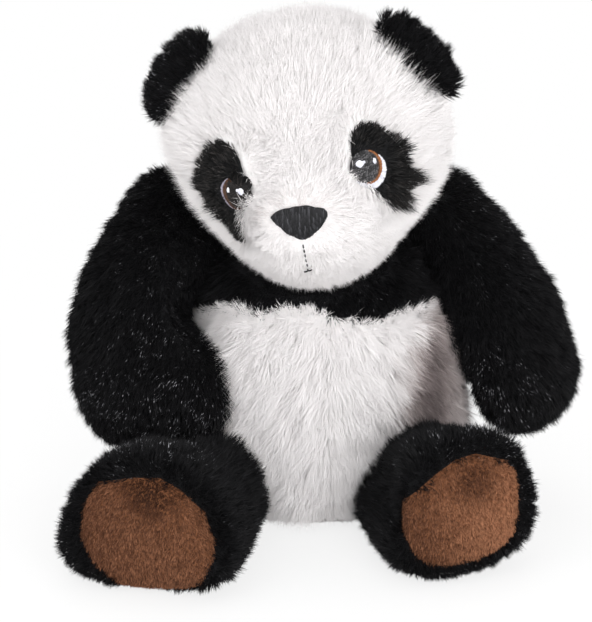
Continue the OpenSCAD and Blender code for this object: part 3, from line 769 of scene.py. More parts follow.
# The eye patches are pads of black plush, sewn flat on the face round the eyes. Their pile is combed away
# from the nose, and stands out in ragged points along the outer edge.
patch_pile = pile_dye("black_patch_pile", 0.6, 0.2, [(0.4, 0.03), (0.7, (0.13, 0.12, 0.12))],
                      [(0, 0.025), (0.8, 0.06), (0.92, (0.5, 0.47, 0.45))])
fringe_points = {"left": ((33, 1.6), (-24, 1.6), (-60, 1.3)), "right": ((20, 0.7), (-25, 0.6), (-60, 0.6))}
for side_name, sign in eye_sides:
    chart = eye_charts[side_name]
    pad = merged_nodes(side_name + "_eye_patch_plush", [side_name + "_eye_patch"])
    add_finer_faces(pad)
    settle(pad)
    write_points(pad.data, fit_patch(side_name, read_points(pad.data)))
    pad.data.materials.append(black_backing)
    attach(pad, "head")
    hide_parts(side_name + "_eye_patch")
    spots = read_points(pad.data)
    outer_face = ramp(0.2, 0.5, np.sum(read_normals(pad.data) * unit_rows(spots - head_middle), axis=1))
    across, up = chart.flat(spots)
    beside_eye = np.minimum(np.hypot(across - sign * 1.5 * mm, up + 0.3 * mm) - 7.2 * mm,
                            np.hypot(across - sign * 2.8 * mm, up + 1.6 * mm) - 7.9 * mm)
    beside_eye = np.where(past_lid(side_name, across, up) > 0, 5 * mm, beside_eye)
    middle = np.array(box_middle(side_name + "_eye_patch"))
    middle_across, middle_up = chart.flat(middle)
    bearing = np.degrees(np.arctan2(up - middle_up, sign * (across - middle_across)))
    fringe = np.full(len(spots), 0.42)
    for angle, reach in fringe_points[side_name]:
        fringe += reach * 0.75 * np.exp(-((bearing - angle) / 9) ** 2)
    start = chart.spot - chart.across * sign * 9 * mm - chart.out * 2 * mm
    past = past_muzzle(side_name, across, up)
    over_eye = (past_lid(side_name, across, up) > 0) & (np.hypot(across, up) < 9 * mm)
    patch_comb = np.where(over_eye[:, None], -face_up, unit_rows(spots - start))
    fringe = fringe * (0.5 + 0.5 * ramp(0, 5 * mm, beside_eye))
    grow_pile(side_name + "_eye_patch_pile", pad, "head", "black_plush", patch_pile,
              outer_face * (beside_eye > 0) * (past < 0.6 * mm), fringe, patch_comb, 251 + sign,
              Length=6.5 * mm, Lean=1.2, Density=7e6, Width=0.24 * mm, Tousle=0.35)

# The eyes are worked in thread over the patches: a white and an amber crescent in radial satin stitch, a
# charcoal disc in short rows, and two white glints. Each lies on a thin ground of its own colour.
def thread_form():
    """One thread of six sides, 1 long, that arches in the middle and narrows at its ends."""
    rings = ((-0.5, 0.35), (-0.42, 0.85), (-0.2, 1), (0.2, 1), (0.42, 0.85), (0.5, 0.35))
    sides = 6
    corners, faces, along = [], [], []
    for x, radius in rings:
        for step in range(sides):
            angle = 2 * math.pi * step / sides
            arch = 0.5 * (1 - 4 * x * x)
            corners.append((x, radius * math.cos(angle), radius * math.sin(angle) + arch))
            along.append(x + 0.5)
    for ring in range(len(rings) - 1):
        for step in range(sides):
            a = ring * sides + step
            b = ring * sides + (step + 1) % sides
            faces.append((b, a, a + sides, b + sides))
    faces.append(tuple(range(sides)))
    faces.append(tuple(reversed(range(len(corners) - sides, len(corners)))))
    mesh = bpy.data.meshes.new("thread")
    mesh.from_pydata(corners, [], faces)
    store(mesh, "along", "FLOAT", along)
    store(mesh, "across", "FLOAT", [corner[1] for corner in corners])
    return mesh_piece("thread", mesh)


def stitch_tree():
    """One thread laid at each point, along its way and with its arch lifted off the cloth."""
    tree, given = named_tree("rows_of_stitches", [
        ("Thickness", "Float"), ("Thread", "Object"), ("Material", "Material")])
    chart_width, chart_start = 0.9, 0.05
    laid = add_node(tree, "FunctionNodeAlignRotationToVector", {"axis": "X"},
                    {"Vector": read_field(tree, "way", "FLOAT_VECTOR")}).outputs[0]
    raised = add_node(tree, "FunctionNodeAlignRotationToVector", {"axis": "Z", "pivot_axis": "X"},
                      {"Rotation": laid, "Vector": read_field(tree, "lift", "FLOAT_VECTOR")}).outputs[0]
    size = add_node(tree, "ShaderNodeCombineXYZ", None, {
        "X": read_field(tree, "stitch_length", "FLOAT"), "Y": given["Thickness"],
        "Z": given["Thickness"]}).outputs[0]
    thread = add_node(tree, "GeometryNodeObjectInfo", None, {"Object": given["Thread"]}).outputs["Geometry"]
    copies = add_node(tree, "GeometryNodeInstanceOnPoints", None, {
        "Points": given["Geometry"], "Instance": thread, "Rotation": raised,
        "Scale": size}).outputs["Instances"]
    threads = add_node(tree, "GeometryNodeRealizeInstances", None, {"Geometry": copies}).outputs["Geometry"]
    tone = in_band(tree, read_field(tree, "tone", "FLOAT"), chart_width, chart_start)
    column = in_band(tree, read_field(tree, "across", "FLOAT"), 0.01, tone)
    row = in_band(tree, read_field(tree, "along", "FLOAT"), chart_width, chart_start)
    chart = add_node(tree, "ShaderNodeCombineXYZ", None, {"X": column, "Y": row}).outputs[0]
    mapped = add_node(tree, "GeometryNodeStoreNamedAttribute", {"data_type": "FLOAT2", "domain": "CORNER"},
                      {"Geometry": threads, "Name": "OFBake", "Value": chart}).outputs["Geometry"]
    dyed = add_node(tree, "GeometryNodeSetMaterial", None,
                    {"Geometry": mapped, "Material": given["Material"]}).outputs["Geometry"]
    tree.links.new(dyed, tree.nodes.new("NodeGroupOutput").inputs[0])
    return tree


stitch_maker = stitch_tree()
one_thread = thread_form()
chance = np.random.default_rng(7)


def sew(name, chart, stitches, dye, thickness=0.26 * mm):
    """Lays one thread for each pair of places on a chart; a place is across, up and above."""
    middles, ways, lengths = [], [], []
    for start, end in stitches:
        a = chart.place(*start)
        b = chart.place(*end)
        if a is None or b is None:
            continue
        middles.append((a + b) / 2)
        ways.append((b - a) / np.linalg.norm(b - a))
        lengths.append(np.linalg.norm(b - a))
    mesh = bpy.data.meshes.new(name)
    mesh.from_pydata(middles, [], [])
    store(mesh, "way", "FLOAT_VECTOR", ways)
    store(mesh, "lift", "FLOAT_VECTOR", [chart.out] * len(ways))
    store(mesh, "stitch_length", "FLOAT", lengths)
    store(mesh, "tone", "FLOAT", chance.random(len(ways)))
    values = {"Thickness": thickness, "Thread": one_thread, "Material": dye}
    return grown_piece(name, mesh, stitch_maker, values, "head")


def plain_thread(name, colour):
    material, _, shader = new_material(name, 0.7, 0.3)
    shader.inputs["Base Color"].default_value = (*colour, 1)
    return material


def thread_ground(name, chart, centre, reach_at, above, colour, node):
    """A thin domed disc of cloth under the stitches; reach_at(angle) is its outline."""
    corners, faces = [], []
    rings, around = 8, 48
    edge_sink, thickness = 1.6 * mm, 0.5 * mm
    for layer in (0, 1):
        for ring in range(rings + 1):
            for step in range(around):
                angle = 2 * math.pi * step / around
                reach = reach_at(angle) * ring / rings
                sunk = edge_sink * (ring / rings) ** 4 + layer * thickness
                across = centre[0] + reach * math.cos(angle)
                up = centre[1] + reach * math.sin(angle)
                corners.append(chart.place(across, up, above - sunk))
    layer_size = (rings + 1) * around
    for ring in range(rings):
        for step in range(around):
            a = ring * around + step
            b = ring * around + (step + 1) % around
            faces.append((a, a + around, b + around, b))
            faces.append((b + layer_size, b + around + layer_size, a + around + layer_size, a + layer_size))
    for step in range(around):
        a = rings * around + step
        b = rings * around + (step + 1) % around
        faces.append((a, a + layer_size, b + layer_size, b))
    mesh = bpy.data.meshes.new(name)
    mesh.from_pydata(corners, [], faces)
    form = bmesh.new()
    form.from_mesh(mesh)
    bmesh.ops.remove_doubles(form, verts=form.verts, dist=0.002 * mm)
    bmesh.ops.recalc_face_normals(form, faces=form.faces)
    form.to_mesh(mesh)
    form.free()
    mesh.materials.append(plain_thread(name + "_cloth", colour))
    piece = mesh_piece(name, mesh)
    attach(piece, "head")
    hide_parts(node)


def circle_reach(angle, centre, radius):
    """How far a ring lies from the chart's middle at an angle."""
    way = np.array([math.cos(angle), math.sin(angle)])
    lean = float(way @ np.array(centre))
    return lean + math.sqrt(max(radius ** 2 - float(np.dot(centre, centre)) + lean ** 2, 0))


def crescent_stitches(inner, outer, above, pitch=0.33 * mm, least=0.35 * mm):
    """Radial satin stitches in the crescent that an outer ring shows past an inner one."""
    made = []
    turns = int(2 * math.pi * outer[1] / pitch)
    for turn in range(turns):
        angle = 2 * math.pi * (turn + 0.3 * chance.random()) / turns
        near = circle_reach(angle, *inner)
        far = circle_reach(angle, *outer) + 0.25 * mm * (chance.random() - 0.5)
        if far - near < least:
            continue
        near -= 0.5 * mm
        made.append(((near * math.cos(angle), near * math.sin(angle), above),
                     (far * math.cos(angle), far * math.sin(angle), above)))
    return made


def domed(above, share):
    """The height of a stitch on a domed ground, at a share of the way to its edge."""
    return above - 1.6 * mm * share ** 4


def row_stitches(inside, reach, slant, above, pitch=0.42 * mm, length=2.4 * mm, share=lambda a, u: 0):
    """Rows of short stitches over the places that inside() accepts, in brick order."""
    made = []
    way = np.array([math.cos(slant), math.sin(slant)])
    over = np.array([-way[1], way[0]])
    for row, offset in enumerate(np.arange(-reach, reach, pitch)):
        steps = np.arange(-reach, reach, 0.2 * mm)
        kept = [step for step in steps if inside(*(way * step + over * offset))]
        if len(kept) < 3:
            continue
        begin = kept[0] - 0.25 * mm * chance.random()
        stop = kept[-1] + 0.25 * mm * chance.random()
        cuts = [begin]
        step = begin + length * ((0.35, 0.7, 1.0)[row % 3] + 0.15 * chance.random())
        while step < stop - 0.6 * mm:
            cuts.append(step)
            step += length * (0.9 + 0.2 * chance.random())
        cuts.append(stop)
        for a, b in zip(cuts, cuts[1:]):
            first = way * a + over * offset
            last = way * b + over * offset
            made.append(((*first, domed(above, share(*first))), (*last, domed(above, share(*last)))))
    return made


thread_dyes = {}
for name, roughness, shine, dark, light, tones in (
        ("charcoal_thread", 0.65, 0.25, (0.03, 0.03, 0.033), (0.075, 0.075, 0.084),
         [(0, 0.1), (0.7, 0.3), (1, 1)]),
        ("amber_thread", 0.55, 0.3, (0.2, 0.07, 0.022), (0.36, 0.145, 0.05), [(0, (0.4, 0.34, 0.3)), (1, 1)]),
        ("white_thread", 0.55, 0.3, (0.66, 0.66, 0.71), (0.82, 0.82, 0.86), [(0, (0.7, 0.7, 0.74)), (1, 1)]),
        # darker copies for the right eye, with its shade painted in:
        ("dull_white_thread", 0.55, 0.3, (0.3, 0.28, 0.34), (0.46, 0.43, 0.5),
         [(0, (0.6, 0.58, 0.62)), (1, 1)]),
        ("dull_amber_thread", 0.55, 0.3, (0.04, 0.017, 0.008), (0.11, 0.048, 0.022),
         [(0, (0.25, 0.22, 0.2)), (1, 1)]),
        ("dull_pupil_thread", 0.65, 0.2, (0.01, 0.009, 0.009), (0.03, 0.026, 0.025), [(0, 0.2), (1, 1)]),
        ("pupil_thread", 0.65, 0.25, (0.05, 0.05, 0.053), (0.17, 0.165, 0.172),
         [(0, 0.12), (0.5, 0.3), (0.8, 0.7), (1, 1)])):
    thread_dyes[name] = pile_dye(name, roughness, shine, [(0, dark), (0.7, light)], tones)
# The right eye's threads are darker copies of the left eye's: painted shade, for the eye sitting in the shade
# of its socket.
eye_threads = {"right": ("dull_white_thread", "dull_amber_thread", "dull_pupil_thread"),
               "left": ("white_thread", "amber_thread", "pupil_thread")}
pupil_radius = 6.4 * mm
glint_places = {"right": ((-2.4, 1.0, 1.5, 1.3), (-0.8, 1.4, 0.7, 0.5), (4.0, 1.2, 0.7, 1.0)),
                "left": ((-3.0, 1.9, 1.6, 1.4), (-1.2, 2.2, 0.7, 0.6), (3.9, 1.6, 0.8, 1.1))}
white_bearing = {"right": math.radians(-12), "left": math.radians(-42)}
white_radius = {"right": 6.2 * mm, "left": 7.2 * mm}
white_aside = 3.3 * mm
iris_aside = {"right": 1.2 * mm, "left": 1.05 * mm}
for side_name, sign in eye_sides:
    chart = eye_charts[side_name]
    rim_thread, iris_thread, disc_thread = (thread_dyes[name] for name in eye_threads[side_name])
    pupil_ring = ((0, 0), pupil_radius)
    iris_ring = ((iris_aside[side_name] * sign, -0.3 * mm), 6.6 * mm)
    white_lean = white_bearing[side_name]
    white_centre = (white_aside * sign * math.cos(white_lean), white_aside * math.sin(white_lean))
    white_ring = (white_centre, white_radius[side_name])
    thread_ground(side_name + "_eye_white_ground", chart, white_ring[0], lambda angle: white_ring[1],
                  3.2 * mm, (0.32, 0.31, 0.34), side_name + "_eye_white")
    rim = crescent_stitches(iris_ring, white_ring, 3.1 * mm)
    sew(side_name + "_eye_white_stitches", chart, rim, rim_thread)
    thread_ground(side_name + "_eye_iris_ground", chart, iris_ring[0], lambda angle: iris_ring[1],
                  4.6 * mm, (0.07, 0.026, 0.009), side_name + "_eye_iris")
    iris = crescent_stitches(pupil_ring, iris_ring, 3.6 * mm)
    sew(side_name + "_eye_iris_stitches", chart, iris, iris_thread)
    thread_ground(side_name + "_eye_pupil_ground", chart, pupil_ring[0], lambda angle: pupil_radius,
                  4.8 * mm, (0.008, 0.008, 0.009), side_name + "_eye_pupil")
    disc = row_stitches(lambda a, u: math.hypot(a, u) < pupil_radius, pupil_radius, 0.35 * sign, 4.9 * mm,
                        length=1.3 * mm, share=lambda a, u: math.hypot(a, u) / pupil_radius)
    sew(side_name + "_eye_pupil_stitches", chart, disc, disc_thread)
    glints = []
    for centre_a, centre_u, half_a, half_u in glint_places[side_name]:

        def in_glint(a, u):
            beside = (a - sign * centre_a * mm) / (half_a * mm)
            above = (u - centre_u * mm) / (half_u * mm)
            return beside ** 2 + above ** 2 < 1

        glints += row_stitches(in_glint, 8 * mm, math.pi / 2, 5.3 * mm, pitch=0.4 * mm, length=4 * mm,
                               share=lambda a, u: math.hypot(a, u) / pupil_radius)
    shine = sew(side_name + "_eye_glint_stitches", chart, glints, thread_dyes["white_thread"])
    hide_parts(side_name + "_eye_highlights")

# The nose is a rounded triangle of charcoal thread, worked up and down in short stitches over a low pad.
# The mouth is one line of running stitch below it, ending in a short cross stitch.
charcoal_thread = thread_dyes["charcoal_thread"]
nose_outline = np.array([(-12.0, 3.2), (-8.0, 6.2), (-3.4, 7.4), (1.2, 7.6), (7.0, 6.2), (11.2, 4.8),
                         (12.4, 2.4), (9.8, -2.0), (5.8, -5.6), (0.2, -8.2), (-3.2, -5.8), (-8.0, -1.4)])
nose_outline = nose_outline * [0.93 * mm, 0.86 * mm]
nose_chart = SurfacePatch(nose_spot + face_side * 1.9 * mm + face_up * 0.6 * mm, head_tree)
outline_bearing = np.arctan2(nose_outline[:, 1], nose_outline[:, 0])
outline_order = np.argsort(outline_bearing)


def nose_reach(angle):
    bearing = math.atan2(math.sin(angle), math.cos(angle))
    reach = np.hypot(nose_outline[:, 0], nose_outline[:, 1])[outline_order]
    return float(np.interp(bearing, outline_bearing[outline_order], reach, period=2 * math.pi))


def nose_share(across, up):
    return math.hypot(across, up) / nose_reach(math.atan2(up, across))


thread_ground("nose_ground", nose_chart, (0, 0), nose_reach, 3.6 * mm, (0.008, 0.008, 0.009),
              "nose")
nose_rows = row_stitches(lambda a, u: nose_share(a, u) < 1, 15 * mm, math.pi / 2 - 0.1, 3.7 * mm,
                         length=2.8 * mm, share=nose_share)
sew("nose_stitches", nose_chart, nose_rows, charcoal_thread)

mouth_chart = SurfacePatch(np.array(box_middle("mouth_stitches")), head_tree)
mouth_start = np.array(mouth_chart.flat(nose_chart.place(0.2 * mm, -8.0 * mm, 0)))
mouth_end = np.array([-0.3, -5.6]) * mm
running = []
for begin, stop in ((0.02, 0.12), (0.2, 0.3), (0.36, 0.47), (0.56, 0.66), (0.74, 0.84), (0.9, 1.0)):
    first = mouth_start + (mouth_end - mouth_start) * begin
    last = mouth_start + (mouth_end - mouth_start) * stop
    above = 2.4 * mm - 0.9 * mm * (0.15 < begin < 0.8)
    running.append(((*first, above), (*last, above)))
running.append(((-2.2 * mm, -6.3 * mm, 2.4 * mm), (-0.3 * mm, -5.7 * mm, 2.4 * mm)))
running.append(((-0.3 * mm, -5.7 * mm, 2.4 * mm), (1.5 * mm, -4.9 * mm, 2.4 * mm)))
mouth = sew("mouth_thread", mouth_chart, running, charcoal_thread, 0.3 * mm)
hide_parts("mouth_stitches")

# Each ear is a front and a back half of black plush, sewn together round the rim and lightly filled. It is
# sewn to the head along its base.
ear_stretch = {"right": np.array([3.6, 0, 5.4]) * mm, "left": np.array([1.4, 0, 3.4]) * mm}
for side_name, seed in (("right", 301), ("left", 302)):
    ear_body = side_name + "_ear"
    ear_nodes = [ear_body + "_front", ear_body + "_back"]
    fold = np.array(joint_place[ear_body + "_fold"])

    def ear_sewn(points):
        return 1 - ramp(4 * mm, 8 * mm, np.linalg.norm(points - fold, axis=1))

    ear = stuffed_cover(ear_body + "_plush", ear_nodes, ear_sewn, voxel=2 * mm, swell=0.8 * mm)
    spots = read_points(ear.data)
    stretch = ramp(3 * mm, 14 * mm, np.linalg.norm(spots - fold, axis=1))[:, None]
    write_points(ear.data, spots + stretch * ear_stretch[side_name])
    ear.data.materials.append(black_backing)
    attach(ear, ear_body)
    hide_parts(*ear_nodes)
    spots = read_points(ear.data)
    room = room_beside(ear_body, spots)
    comb = unit_rows(spots - head_middle)
    grow_pile(ear_body + "_pile", ear, ear_body, "black_plush", black_pile, ramp(0, 2 * mm, room),
              0.5 + 0.5 * ramp(1 * mm, 8 * mm, room), comb, seed, sparkle(spots), Length=4.3 * mm,
              Density=6e6, Lean=0.8)

# Each arm is a bent sleeve of black plush, closed at the hand and gathered at the shoulder. Its pile runs
# down towards the hand.
def fit_right_arm(points, inner, outer):
    """The stuffed sleeve against the belly: hollow above the elbow, with the hand pushed in over the leg."""
    x, z = points[:, 0], points[:, 2]
    hollow = -17.5 * mm * inner * np.exp(-((z - 93 * mm) / (15 * mm)) ** 2) * ramp(0, 30 * mm, -points[:, 1])
    push = 4.5 * ramp(-84 * mm, -68 * mm, -z) + 14 * ramp(-66 * mm, -42 * mm, -z)
    hand = ramp(-86 * mm, -62 * mm, x) * push * mm
    bulge = -1.8 * mm * outer * np.exp(-((z - 80 * mm) / (17 * mm)) ** 2)
    heel = 2.5 * mm * outer * ramp(-60 * mm, -45 * mm, -z)
    return hollow + hand + bulge + heel


def fit_left_arm(points, inner, outer):
    """The sleeve that hangs free: full beside the belly, slim at the shoulder and inside the hand."""
    z = points[:, 2]
    full = -5 * mm * inner * ramp(70 * mm, 82 * mm, z) * ramp(-116 * mm, -104 * mm, -z)
    hand = 7.5 * mm * inner * ramp(-68 * mm, -54 * mm, -z)
    shoulder_in = -4 * mm * outer * ramp(88 * mm, 105 * mm, z)
    bulge = 2.2 * mm * outer * np.exp(-((z - 62 * mm) / (17 * mm)) ** 2)
    return full + hand + shoulder_in + bulge


fit_arm = {"right": fit_right_arm, "left": fit_left_arm}
hand_drop = {"right": 5.5 * mm, "left": 0}
for side_name, seed in (("right", 401), ("left", 402)):
    arm_body = side_name + "_arm"
    arm_nodes = [arm_body + "_cover", arm_body + "_filling"]
    shoulder = np.array(joint_place[arm_body + "_swing"])

    def arm_sewn(points):
        return 1 - ramp(2 * mm, 6 * mm, room_beside(arm_body, points))

    arm = stuffed_cover(arm_body + "_plush", arm_nodes, arm_sewn)
    spots = read_points(arm.data)
    facing = read_normals(arm.data)[:, 0] * np.sign(shoulder[0])
    spots[:, 0] += fit_arm[side_name](spots, np.clip(-facing, 0, 1), np.clip(facing, 0, 1))
    outer_hand = ramp(70 * mm, 88 * mm, np.abs(spots[:, 0])) * ramp(-64 * mm, -46 * mm, -spots[:, 2])
    spots[:, 2] -= hand_drop[side_name] * outer_hand
    full = 2.1 * mm * ramp(3 * mm, 8 * mm, room_beside(arm_body, spots))
    write_points(arm.data, spots + read_normals(arm.data) * full[:, None])
    arm.data.materials.append(black_backing)
    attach(arm, arm_body)
    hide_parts(*arm_nodes)
    spots = read_points(arm.data)
    room = room_beside(arm_body, spots)
    reach = spots[np.argmax(np.linalg.norm(spots - shoulder, axis=1))] - shoulder
    comb = np.repeat(reach[None] / np.linalg.norm(reach), len(spots), 0)
    inward = read_normals(arm.data)[:, 0] * -np.sign(shoulder[0])
    armpit_short = 1 - 0.5 * ramp(0.2, 0.8, inward) * ramp(70 * mm, 90 * mm, spots[:, 2])
    grow_pile(arm_body + "_pile", arm, arm_body, "black_plush", black_pile, ramp(0.5 * mm, 2.5 * mm, room),
              armpit_short, comb, seed, sparkle(spots), Density=4.2e6, Length=5.2 * mm)

# Each leg is a stub of black plush that widens to the foot, and a short-napped brown suede sole closes it.
# The sole is drawn tight inside its seam, and the leg lies flat on the floor.
suede_backing = backing_cloth("suede_backing", (0.12, 0.045, 0.02), (0.2, 0.08, 0.035))
suede_nap = pile_dye("brown_suede_nap", 0.8, 0.2, [(0, (0.12, 0.05, 0.025)), (0.7, (0.38, 0.168, 0.088))],
                     [(0.2, (0.06, 0.045, 0.04)), (0.45, (0.34, 0.3, 0.28)), (0.62, (0.75, 0.74, 0.73)),
                      (0.95, 1)])
sole_outline = {
    "right": ((-85, -95.5), (-72, -93), (-61, -93), (-53, -97.5), (-44, -106), (-40.2, -117), (-41, -126),
              (-45.5, -134.5), (-56.5, -139.5), (-76, -137.5), (-88.5, -127), (-93, -116.5), (-92, -107.5),
              (-89.5, -101)),
    "left": ((33.5, -103), (38, -98.5), (46, -93), (52, -88), (62, -85.3), (73.5, -88), (78, -92),
             (79.2, -98), (79.4, -108), (78, -117.5), (74.7, -122.5), (67.8, -126.5), (59.6, -128.7),
             (51, -129.5), (43.5, -128.7), (38.4, -125.5), (35.3, -119.3), (33.5, -112))}
sole_tilt = math.radians(14)
sole_base = np.array([0, 0, 115 * mm])
sole_right = Vector((1, 0, 0))
sole_up = Vector((0, math.sin(sole_tilt), math.cos(sole_tilt)))
sole_front = Vector((0, -math.cos(sole_tilt), math.sin(sole_tilt)))


def sole_edges(outline):
    """The sole's outline as cutting planes: a place on each edge and the way that leads out of the sole."""
    corners = [Vector((x, height)) * mm for x, height in outline]
    for first, second in zip(corners, corners[1:] + corners[:1]):
        along = (second - first).normalized()
        spot = Vector(sole_base) + sole_right * first.x + sole_up * first.y
        yield spot, sole_right * -along.y + sole_up * along.x


def fit_right_leg(points, upward):
    """The foot slides forward and out a little on the floor."""
    x, y, z = points.T
    foot = ramp(40 * mm, 105 * mm, -y)
    low = ramp(-32 * mm, -8 * mm, -z)
    inner = ramp(-62 * mm, -35 * mm, x)
    outer = ramp(65 * mm, 95 * mm, -x)
    move = np.zeros(points.shape)
    move[:, 0] = -2 * foot + 7 * inner * low * foot - 5 * outer * low + 4 * outer * (1 - low) * foot
    move[:, 1] = -6 * foot - low * foot * (14 * inner - 3)
    move[:, 2] = upward * (4 * inner * (1 - foot) - 5 * outer * foot)
    return move * mm


def fit_left_leg(points, upward):
    """The thigh is thick beside the belly, and the foot leans outwards."""
    x, y, z = points.T
    foot = ramp(50 * mm, 100 * mm, -y)
    thigh = 15 * np.exp(-((x - 60 * mm) / (17 * mm)) ** 2 - ((y + 50 * mm) / (14 * mm)) ** 2)
    inner = ramp(-40 * mm, -16 * mm, -x)
    outer = ramp(50 * mm, 75 * mm, x) * ramp(15 * mm, 45 * mm, z)
    move = np.zeros(points.shape)
    far = ramp(78 * mm, 102 * mm, x)
    low = ramp(-24 * mm, -6 * mm, -z)
    move[:, 0] = (7 + 9 * foot) * inner * (1 - 1.1 * low) - 2.5 * foot * far
    move[:, 1] = foot * (3 + 6 * low * ramp(45 * mm, 80 * mm, x))
    move[:, 2] = upward * (thigh + 6 * foot * outer)
    return move * mm


suede_strands = {"Length": 1.5 * mm, "Width": 0.24 * mm, "Density": 10e6, "Lean": 1.0, "Tousle": 0.6,
                 "Lock Density": 0.7e6, "Lock Pull": 0.35, "Lock Tousle": 0.45}
# Painted light on each sole: where a sideways ramp of its tone starts and ends, and the tone at each end.
painted_sole_light = {"right": (-100 * mm, -60 * mm, 0.6, 0.74), "left": (46 * mm, 82 * mm, 0.65, 1.3)}
fit_leg = {"right": fit_right_leg, "left": fit_left_leg}
sole_pucker = {"right": (-64 * mm, -97 * mm), "left": (62 * mm, -95 * mm)}
for side_name, seed in (("right", 501), ("left", 502)):
    leg_body = side_name + "_leg"
    leg_nodes = [leg_body + "_cover", leg_body + "_sole", leg_body + "_filling"]
    hip = joint_place[leg_body + "_spread"]
    leg_way = box_middle(leg_body + "_sole") - hip
    leg_way.z = 0
    leg_way.normalize()
    sole_solid = frame["nodes"][leg_body + "_sole"].data
    sole_seam = min((vertex.co - hip).dot(leg_way) for vertex in sole_solid.vertices)

    def leg_sewn(points):
        along = (points - np.array(hip)) @ np.array(leg_way)
        seam = 1 - ramp(1 * mm, 4 * mm, np.abs(along - sole_seam))
        return np.maximum.reduce([seam, 1 - ramp(2 * mm, 6 * mm, room_beside(leg_body, points)),
                                  points[:, 2] < 3 * mm])

    leg = stuffed_cover(leg_body + "_plush", leg_nodes, leg_sewn)
    spots = read_points(leg.data)
    upward = np.clip(read_normals(leg.data)[:, 2], 0, 1)
    write_points(leg.data, spots + fit_leg[side_name](spots, upward))
    spots = read_points(leg.data)
    full = 1.2 * mm * ramp(3 * mm, 8 * mm, room_beside(leg_body, spots)) * ramp(2 * mm, 6 * mm, spots[:, 2])
    write_points(leg.data, spots + read_normals(leg.data) * full[:, None])
    edges = list(sole_edges(sole_outline[side_name]))
    seam_spot = hip + leg_way * sole_seam
    form = bmesh.new()
    form.from_mesh(leg.data)
    for spot, outward in edges:
        bmesh.ops.bisect_plane(form, geom=form.verts[:] + form.edges[:] + form.faces[:], plane_co=spot,
                               plane_no=outward, dist=0.05 * mm)
    for face in form.faces:
        middle = face.calc_center_median()
        within = all((middle - spot).dot(outward) < 0 for spot, outward in edges)
        at_end = (middle - seam_spot).dot(leg_way) > -18 * mm
        face.material_index = 1 if within and at_end and face.normal.dot(sole_front) > 0 else 0
    form.to_mesh(leg.data)
    form.free()
    leg.data.materials.append(black_backing)
    leg.data.materials.append(suede_backing)
    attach(leg, leg_body)
    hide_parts(*leg_nodes)
    spots = read_points(leg.data)
    room = room_beside(leg_body, spots)
    is_sole = np.ones(len(spots), bool)
    for face in leg.data.polygons:
        if face.material_index == 0:
            is_sole[list(face.vertices)] = False
    outside_sole = np.max([(spots - np.array(spot)) @ np.array(outward) for spot, outward in edges], axis=0)
    behind = (np.array(seam_spot) - spots) @ np.array(leg_way)
    floor_short = 0.6 + 0.4 * ramp(1 * mm, 12 * mm, spots[:, 2])
    comb = np.repeat(-0.7 * np.array(leg_way)[None], len(spots), 0)
    rim = (1 - ramp(0, 10 * mm, outside_sole)) * (1 - ramp(8 * mm, 22 * mm, behind))
    comb = comb * (1 - rim[:, None]) + 0.5 * np.array(leg_way) * rim[:, None]
    hip_short = 0.7 + 0.3 * ramp(1 * mm, 7 * mm, room)
    grow_pile(leg_body + "_pile", leg, leg_body, "black_plush", black_pile,
              ramp(0.5 * mm, 2.5 * mm, room) * ~is_sole, floor_short * hip_short, comb, seed,
              sparkle(spots, 0.75), Density=4.2e6, Length=5 * mm)
    nap_comb = np.repeat(down[None], len(spots), 0)
    # Painted shade and light on the sole's nap: its tone is darker round the pucker, in the crease's shade,
    # and rises towards +x, where the lamps fall more brightly.
    pucker_x, pucker_height = sole_pucker[side_name]
    from_pucker = np.hypot(spots[:, 0] - pucker_x, (spots - sole_base) @ np.array(sole_up) - pucker_height)
    lit_from, lit_to, dull, bright = painted_sole_light[side_name]
    lit = dull + (bright - dull) * ramp(lit_from, lit_to, spots[:, 0] + 0.3 * spots[:, 2])
    painted_sole_shade_and_light = (0.45 + 0.55 * ramp(2 * mm, 16 * mm, from_pucker)) * lit
    grow_pile(leg_body + "_sole_nap", leg, leg_body, "brown_suede", suede_nap, is_sole, np.ones(len(spots)),
              nap_comb, seed + 50, painted_sole_shade_and_light, **suede_strands)

bpy.data.objects.remove(one_strand)
bpy.data.objects.remove(one_thread)

# The stage: a wide pale floor that fades into a white surround, a large soft lamp at the front right, a
# weaker one at the front left and a third above and behind, and a camera a little above the toy.
floor_mesh = bpy.data.meshes.new("floor")
floor_mesh.from_pydata([(-4, -3, 0), (4, -3, 0), (4, 5, 0), (-4, 5, 0)], [], [(0, 1, 2, 3)])
floor = mesh_piece("floor", floor_mesh)
floor_material, floor_tree, floor_shader = new_material("pale_floor", 0.8, 0.1)
floor_shader.inputs["Base Color"].default_value = (0.95, 0.95, 0.95, 1)
ground_place = add_node(floor_tree, "ShaderNodeTexCoord").outputs["Object"]
ground_reach = add_node(floor_tree, "ShaderNodeVectorMath", {"operation": "LENGTH"},
                        {0: ground_place}).outputs["Value"]
fade = add_node(floor_tree, "ShaderNodeMapRange", {"interpolation_type": "SMOOTHSTEP"}, {
    "Value": ground_reach, "From Min": 0.1, "From Max": 0.5, "To Min": 0.78, "To Max": 1.0}).outputs[0]
floor_rays = add_node(floor_tree, "ShaderNodeLightPath").outputs
fade = add_node(floor_tree, "ShaderNodeMath", {"operation": "MULTIPLY"},
                {0: fade, 1: floor_rays["Is Camera Ray"]}).outputs[0]
glow = add_node(floor_tree, "ShaderNodeEmission", None, {"Color": (1, 1, 1, 1), "Strength": 1.0}).outputs[0]
blend = add_node(floor_tree, "ShaderNodeMixShader", None, {0: fade, 1: floor_shader.outputs[0], 2: glow})
floor_tree.links.new(blend.outputs[0], floor_tree.nodes["Material Output"].inputs["Surface"])
floor.data.materials.append(floor_material)

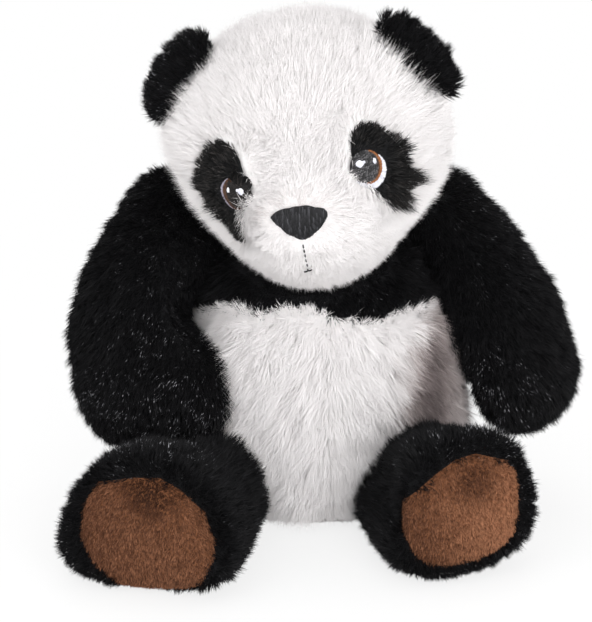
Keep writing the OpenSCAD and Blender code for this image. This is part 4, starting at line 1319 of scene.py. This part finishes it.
world = bpy.data.worlds.new("studio")
scene.world = world
world.use_nodes = True
sky = world.node_tree
backdrop = sky.nodes["Background"]
backdrop.inputs["Color"].default_value = (1, 1, 1, 1)
rays = add_node(sky, "ShaderNodeLightPath").outputs
seen = add_node(sky, "ShaderNodeMath", {"operation": "MAXIMUM"},
                {0: rays["Is Camera Ray"], 1: rays["Is Glossy Ray"]}).outputs[0]
seen = add_node(sky, "ShaderNodeMath", {"operation": "MAXIMUM"},
                {0: seen, 1: rays["Is Transmission Ray"]}).outputs[0]
strength = add_node(sky, "ShaderNodeMapRange", None,
                    {"Value": seen, "To Min": 0.86, "To Max": 1.0}).outputs[0]
sky.links.new(strength, backdrop.inputs["Strength"])


def soft_lamp(name, place, aim, side, power):
    lamp = bpy.data.lights.new(name, "AREA")
    lamp.shape = "SQUARE"
    lamp.size = side
    lamp.energy = power
    holder = bpy.data.objects.new(name, lamp)
    holder.location = place
    holder.rotation_euler = (Vector(aim) - Vector(place)).to_track_quat("-Z", "Y").to_euler()
    scene.collection.objects.link(holder)


soft_lamp("key_lamp", (0.45, -1.4, 0.45), (0, 0, 0.06), 0.8, 15.2)
soft_lamp("fill_lamp", (-0.9, -1.0, 0.7), (0, 0, 0.06), 0.9, 5.5)
soft_lamp("top_lamp", (0, 0.6, 1.3), (0, 0, 0.1), 1.2, 3.2)

photo_width, photo_height = 592, 622
target = Vector((0, 0, 0.115))
target_pixel = (318, 237)
distance = 1.0
metres_per_pixel = 0.43 * mm
view_height = math.radians(14)
lens = bpy.data.cameras.new("camera")
camera = bpy.data.objects.new("camera", lens)
scene.collection.objects.link(camera)
back = Vector((0, -math.cos(view_height), math.sin(view_height)))
camera.location = target + back * distance
camera.rotation_euler = (-back).to_track_quat("-Z", "Y").to_euler()
long_side = max(photo_width, photo_height)
lens.sensor_width = 36
lens.lens = lens.sensor_width * distance / (metres_per_pixel * long_side)
lens.shift_x = (photo_width / 2 - target_pixel[0]) / long_side
lens.shift_y = (target_pixel[1] - photo_height / 2) / long_side
scene.camera = camera
